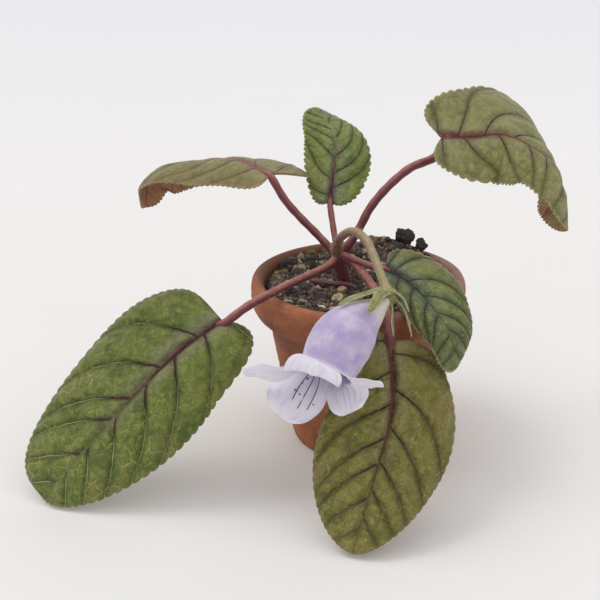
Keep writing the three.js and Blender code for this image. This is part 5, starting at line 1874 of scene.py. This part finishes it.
STONES = {
    "white_stones": (("#c9c0ab", "#e8e2d0", "#f6f2e6"), [
        ([-10.9, 22.2, 51.3], [2.5, 1.1, 1.0], -25), ([-15.6, 21.0, 50.6], [1.0, 0.9, 1.2], 10),
        ([-11.4, -16.4, 50.1], [2.5, 1.7, 1.0], 5), ([2.0, 14.5, 51.5], [1.3, 1.0, 0.8], 40)]),
    "tan_stones": (("#8f7d62", "#b9a789", "#d4c7aa"), [
        ([-17.8, 18.6, 52.4], [1.4, 1.3, 1.9], 0), ([-16.5, -12.4, 49.8], [0.9, 0.8, 0.8], 20),
        ([-2.2, -14.0, 50.0], [1.2, 1.0, 0.9], 50)]),
    "dark_stones": (("#2c2628", "#51474a", "#75696a"), [
        ([-21.2, 13.6, 52.3], [3.1, 2.2, 2.8], 15), ([-13.4, 20.3, 50.8], [2.5, 1.7, 2.0], -35),
        ([-11.4, -10.8, 50.2], [2.7, 2.0, 1.5], 25), ([-18.0, -5.8, 49.8], [2.0, 1.5, 1.3], -10),
        ([-3.7, 13.3, 51.3], [1.8, 1.4, 1.2], 60), ([18.6, 20.4, 54.9], [1.3, 1.1, 1.0], 0),
        ([13.0, 20.0, 55.6], [1.5, 1.2, 1.1], 30), ([9.5, 19.5, 56.0], [1.8, 1.4, 1.2], -30),
        ([22.6, 18.6, 53.4], [1.2, 1.0, 0.9], 10)]),
    "mossy_stones": (("#5d5f3c", "#8a8656", "#b0aa78"), [
        ([-22.9, 9.8, 50.9], [1.6, 1.3, 1.3], 20), ([-25.4, 5.6, 51.0], [1.5, 1.1, 1.2], -20),
        ([-14.0, 22.6, 52.8], [1.9, 1.2, 1.3], 10), ([-9.4, 24.0, 52.6], [1.8, 1.1, 1.1], -10)]),
}
for seed, (stone_name, (colours, lumps)) in enumerate(STONES.items()):
    stones = join_parts([
        broken_stone(*lump, 60 + 10 * seed + k) for k, lump in enumerate(lumps)])
    skin = soil_skin("broken_" + stone_name, colours, 1.6, 0.85)
    finish(make_object(stone_name, *stones, skin), None)
print("stones:", {name: len(lumps) for name, (_, lumps) in STONES.items()})

# %% [markdown]
# ## Young shoot and cut stubs
#
# A dark red young shoot lies over the soil, thicker at its joints. Two old stems were cut
# off: dry, tan stubs with fibres along them and a paler cut end with a dent where the pith
# has shrunk.

# %% Shoot and stubs
SHOOT = [
    [0.6, -1.2, 47.4], [-1.2, -2.1, 50], [-4.4, -2.6, 51.5], [-7.4, -1.7, 51.5], [-10.4, 0, 51.2],
    [-13.4, 1.7, 50.9], [-16, 3.7, 50.7],
]


def shoot_radius(marks, length):
    share = marks / length
    joints = 0.22 * np.exp(-(((marks % 5.6) - 2.8) / 0.7) ** 2)
    tip = np.sqrt(np.clip(1 - np.clip((share - 0.93) / 0.07, 0, 1) ** 2, 0.01, 1))
    return (1.08 - 0.2 * share + joints) * tip


shoot_line = make_line_object("shoot_line", [(SHOOT, shoot_radius)])
dark_shoot = stalk_skin("dark_red_shoot_skin", ("#47202a", "#8a4d50", "#5f2b36"))
finish(run_tree(stalk_tree, shoot_line, "dark_red_shoot", {
    "Sides": 20, "Hairs per m2": 5e5, "Hair length": 0.0005, "Seed": 31,
    "Skin": dark_shoot, "Hair": plant_hair}), "young_shoot")

STUBS = {
    "cut_stub_tall": ([-4.8, -6, 46], [-5.5, -7.4, 52.4], 1.25, ("#8a7458", "#c7ac88", "#b8977a")),
    "cut_stub_short": ([-5.4, -9.2, 46], [-6.9, -11.4, 51], 1.9, ("#6f6a48", "#b0a67a", "#cfc39a")),
}
STUB_SIDES = 40


def stub_mesh(name, low, high, radius, material):
    """A dry stub: fibres along it, a chamfered end and a dent in the cut face."""
    low, high = np.array(low, float), np.array(high, float)
    along = unit(high - low)
    side = unit(np.cross([0.0, 1.0, 0.0], along))
    other = np.cross(along, side)
    length = np.linalg.norm(high - low)
    outline = [(0.0, 0.001), (0.0, 1.0)]
    outline += [(length * k / 14, 1.0 + 0.05 * np.sin(k * 1.7)) for k in range(1, 14)]
    outline += [(length - 0.12, 1.0), (length, 0.9), (length + 0.03, 0.7), (length - 0.1, 0.45)]
    outline += [(length - 0.45, 0.28), (length - 0.55, 0.001)]
    mark = np.array([o[0] for o in outline])[:, None, None]
    share = np.array([o[1] for o in outline])[:, None]
    turn = 2 * np.pi * np.arange(STUB_SIDES)[None, :] / STUB_SIDES
    fibres = 1 + 0.03 * np.sin(7 * turn) + 0.02 * np.sin(13 * turn + 1)
    out = (radius * share * fibres)[..., None]
    slant = 0.12 * radius * share * np.cos(turn) * (mark[..., 0] > 0.5 * length)
    places = low + (mark + slant[..., None]) * along
    places = places + out * (np.cos(turn)[..., None] * side + np.sin(turn)[..., None] * other)
    faces = grid_faces(len(outline), STUB_SIDES, wrap=True)
    flow = np.broadcast_to(mark / length, out.shape)
    points, kept, named = merge_close(places.reshape(-1, 3), faces, {
        "flow": np.repeat(flow.reshape(-1, 1), 3, axis=1)}, limit=0.006)
    return make_object(name + "_piece", points, kept, material, named)


for stub_name, (low, high, radius, colours) in STUBS.items():
    skin = stalk_skin("dry_fibrous_stem_" + stub_name, colours, 0.5)
    finish(stub_mesh(stub_name, low, high, radius, skin), stub_name)
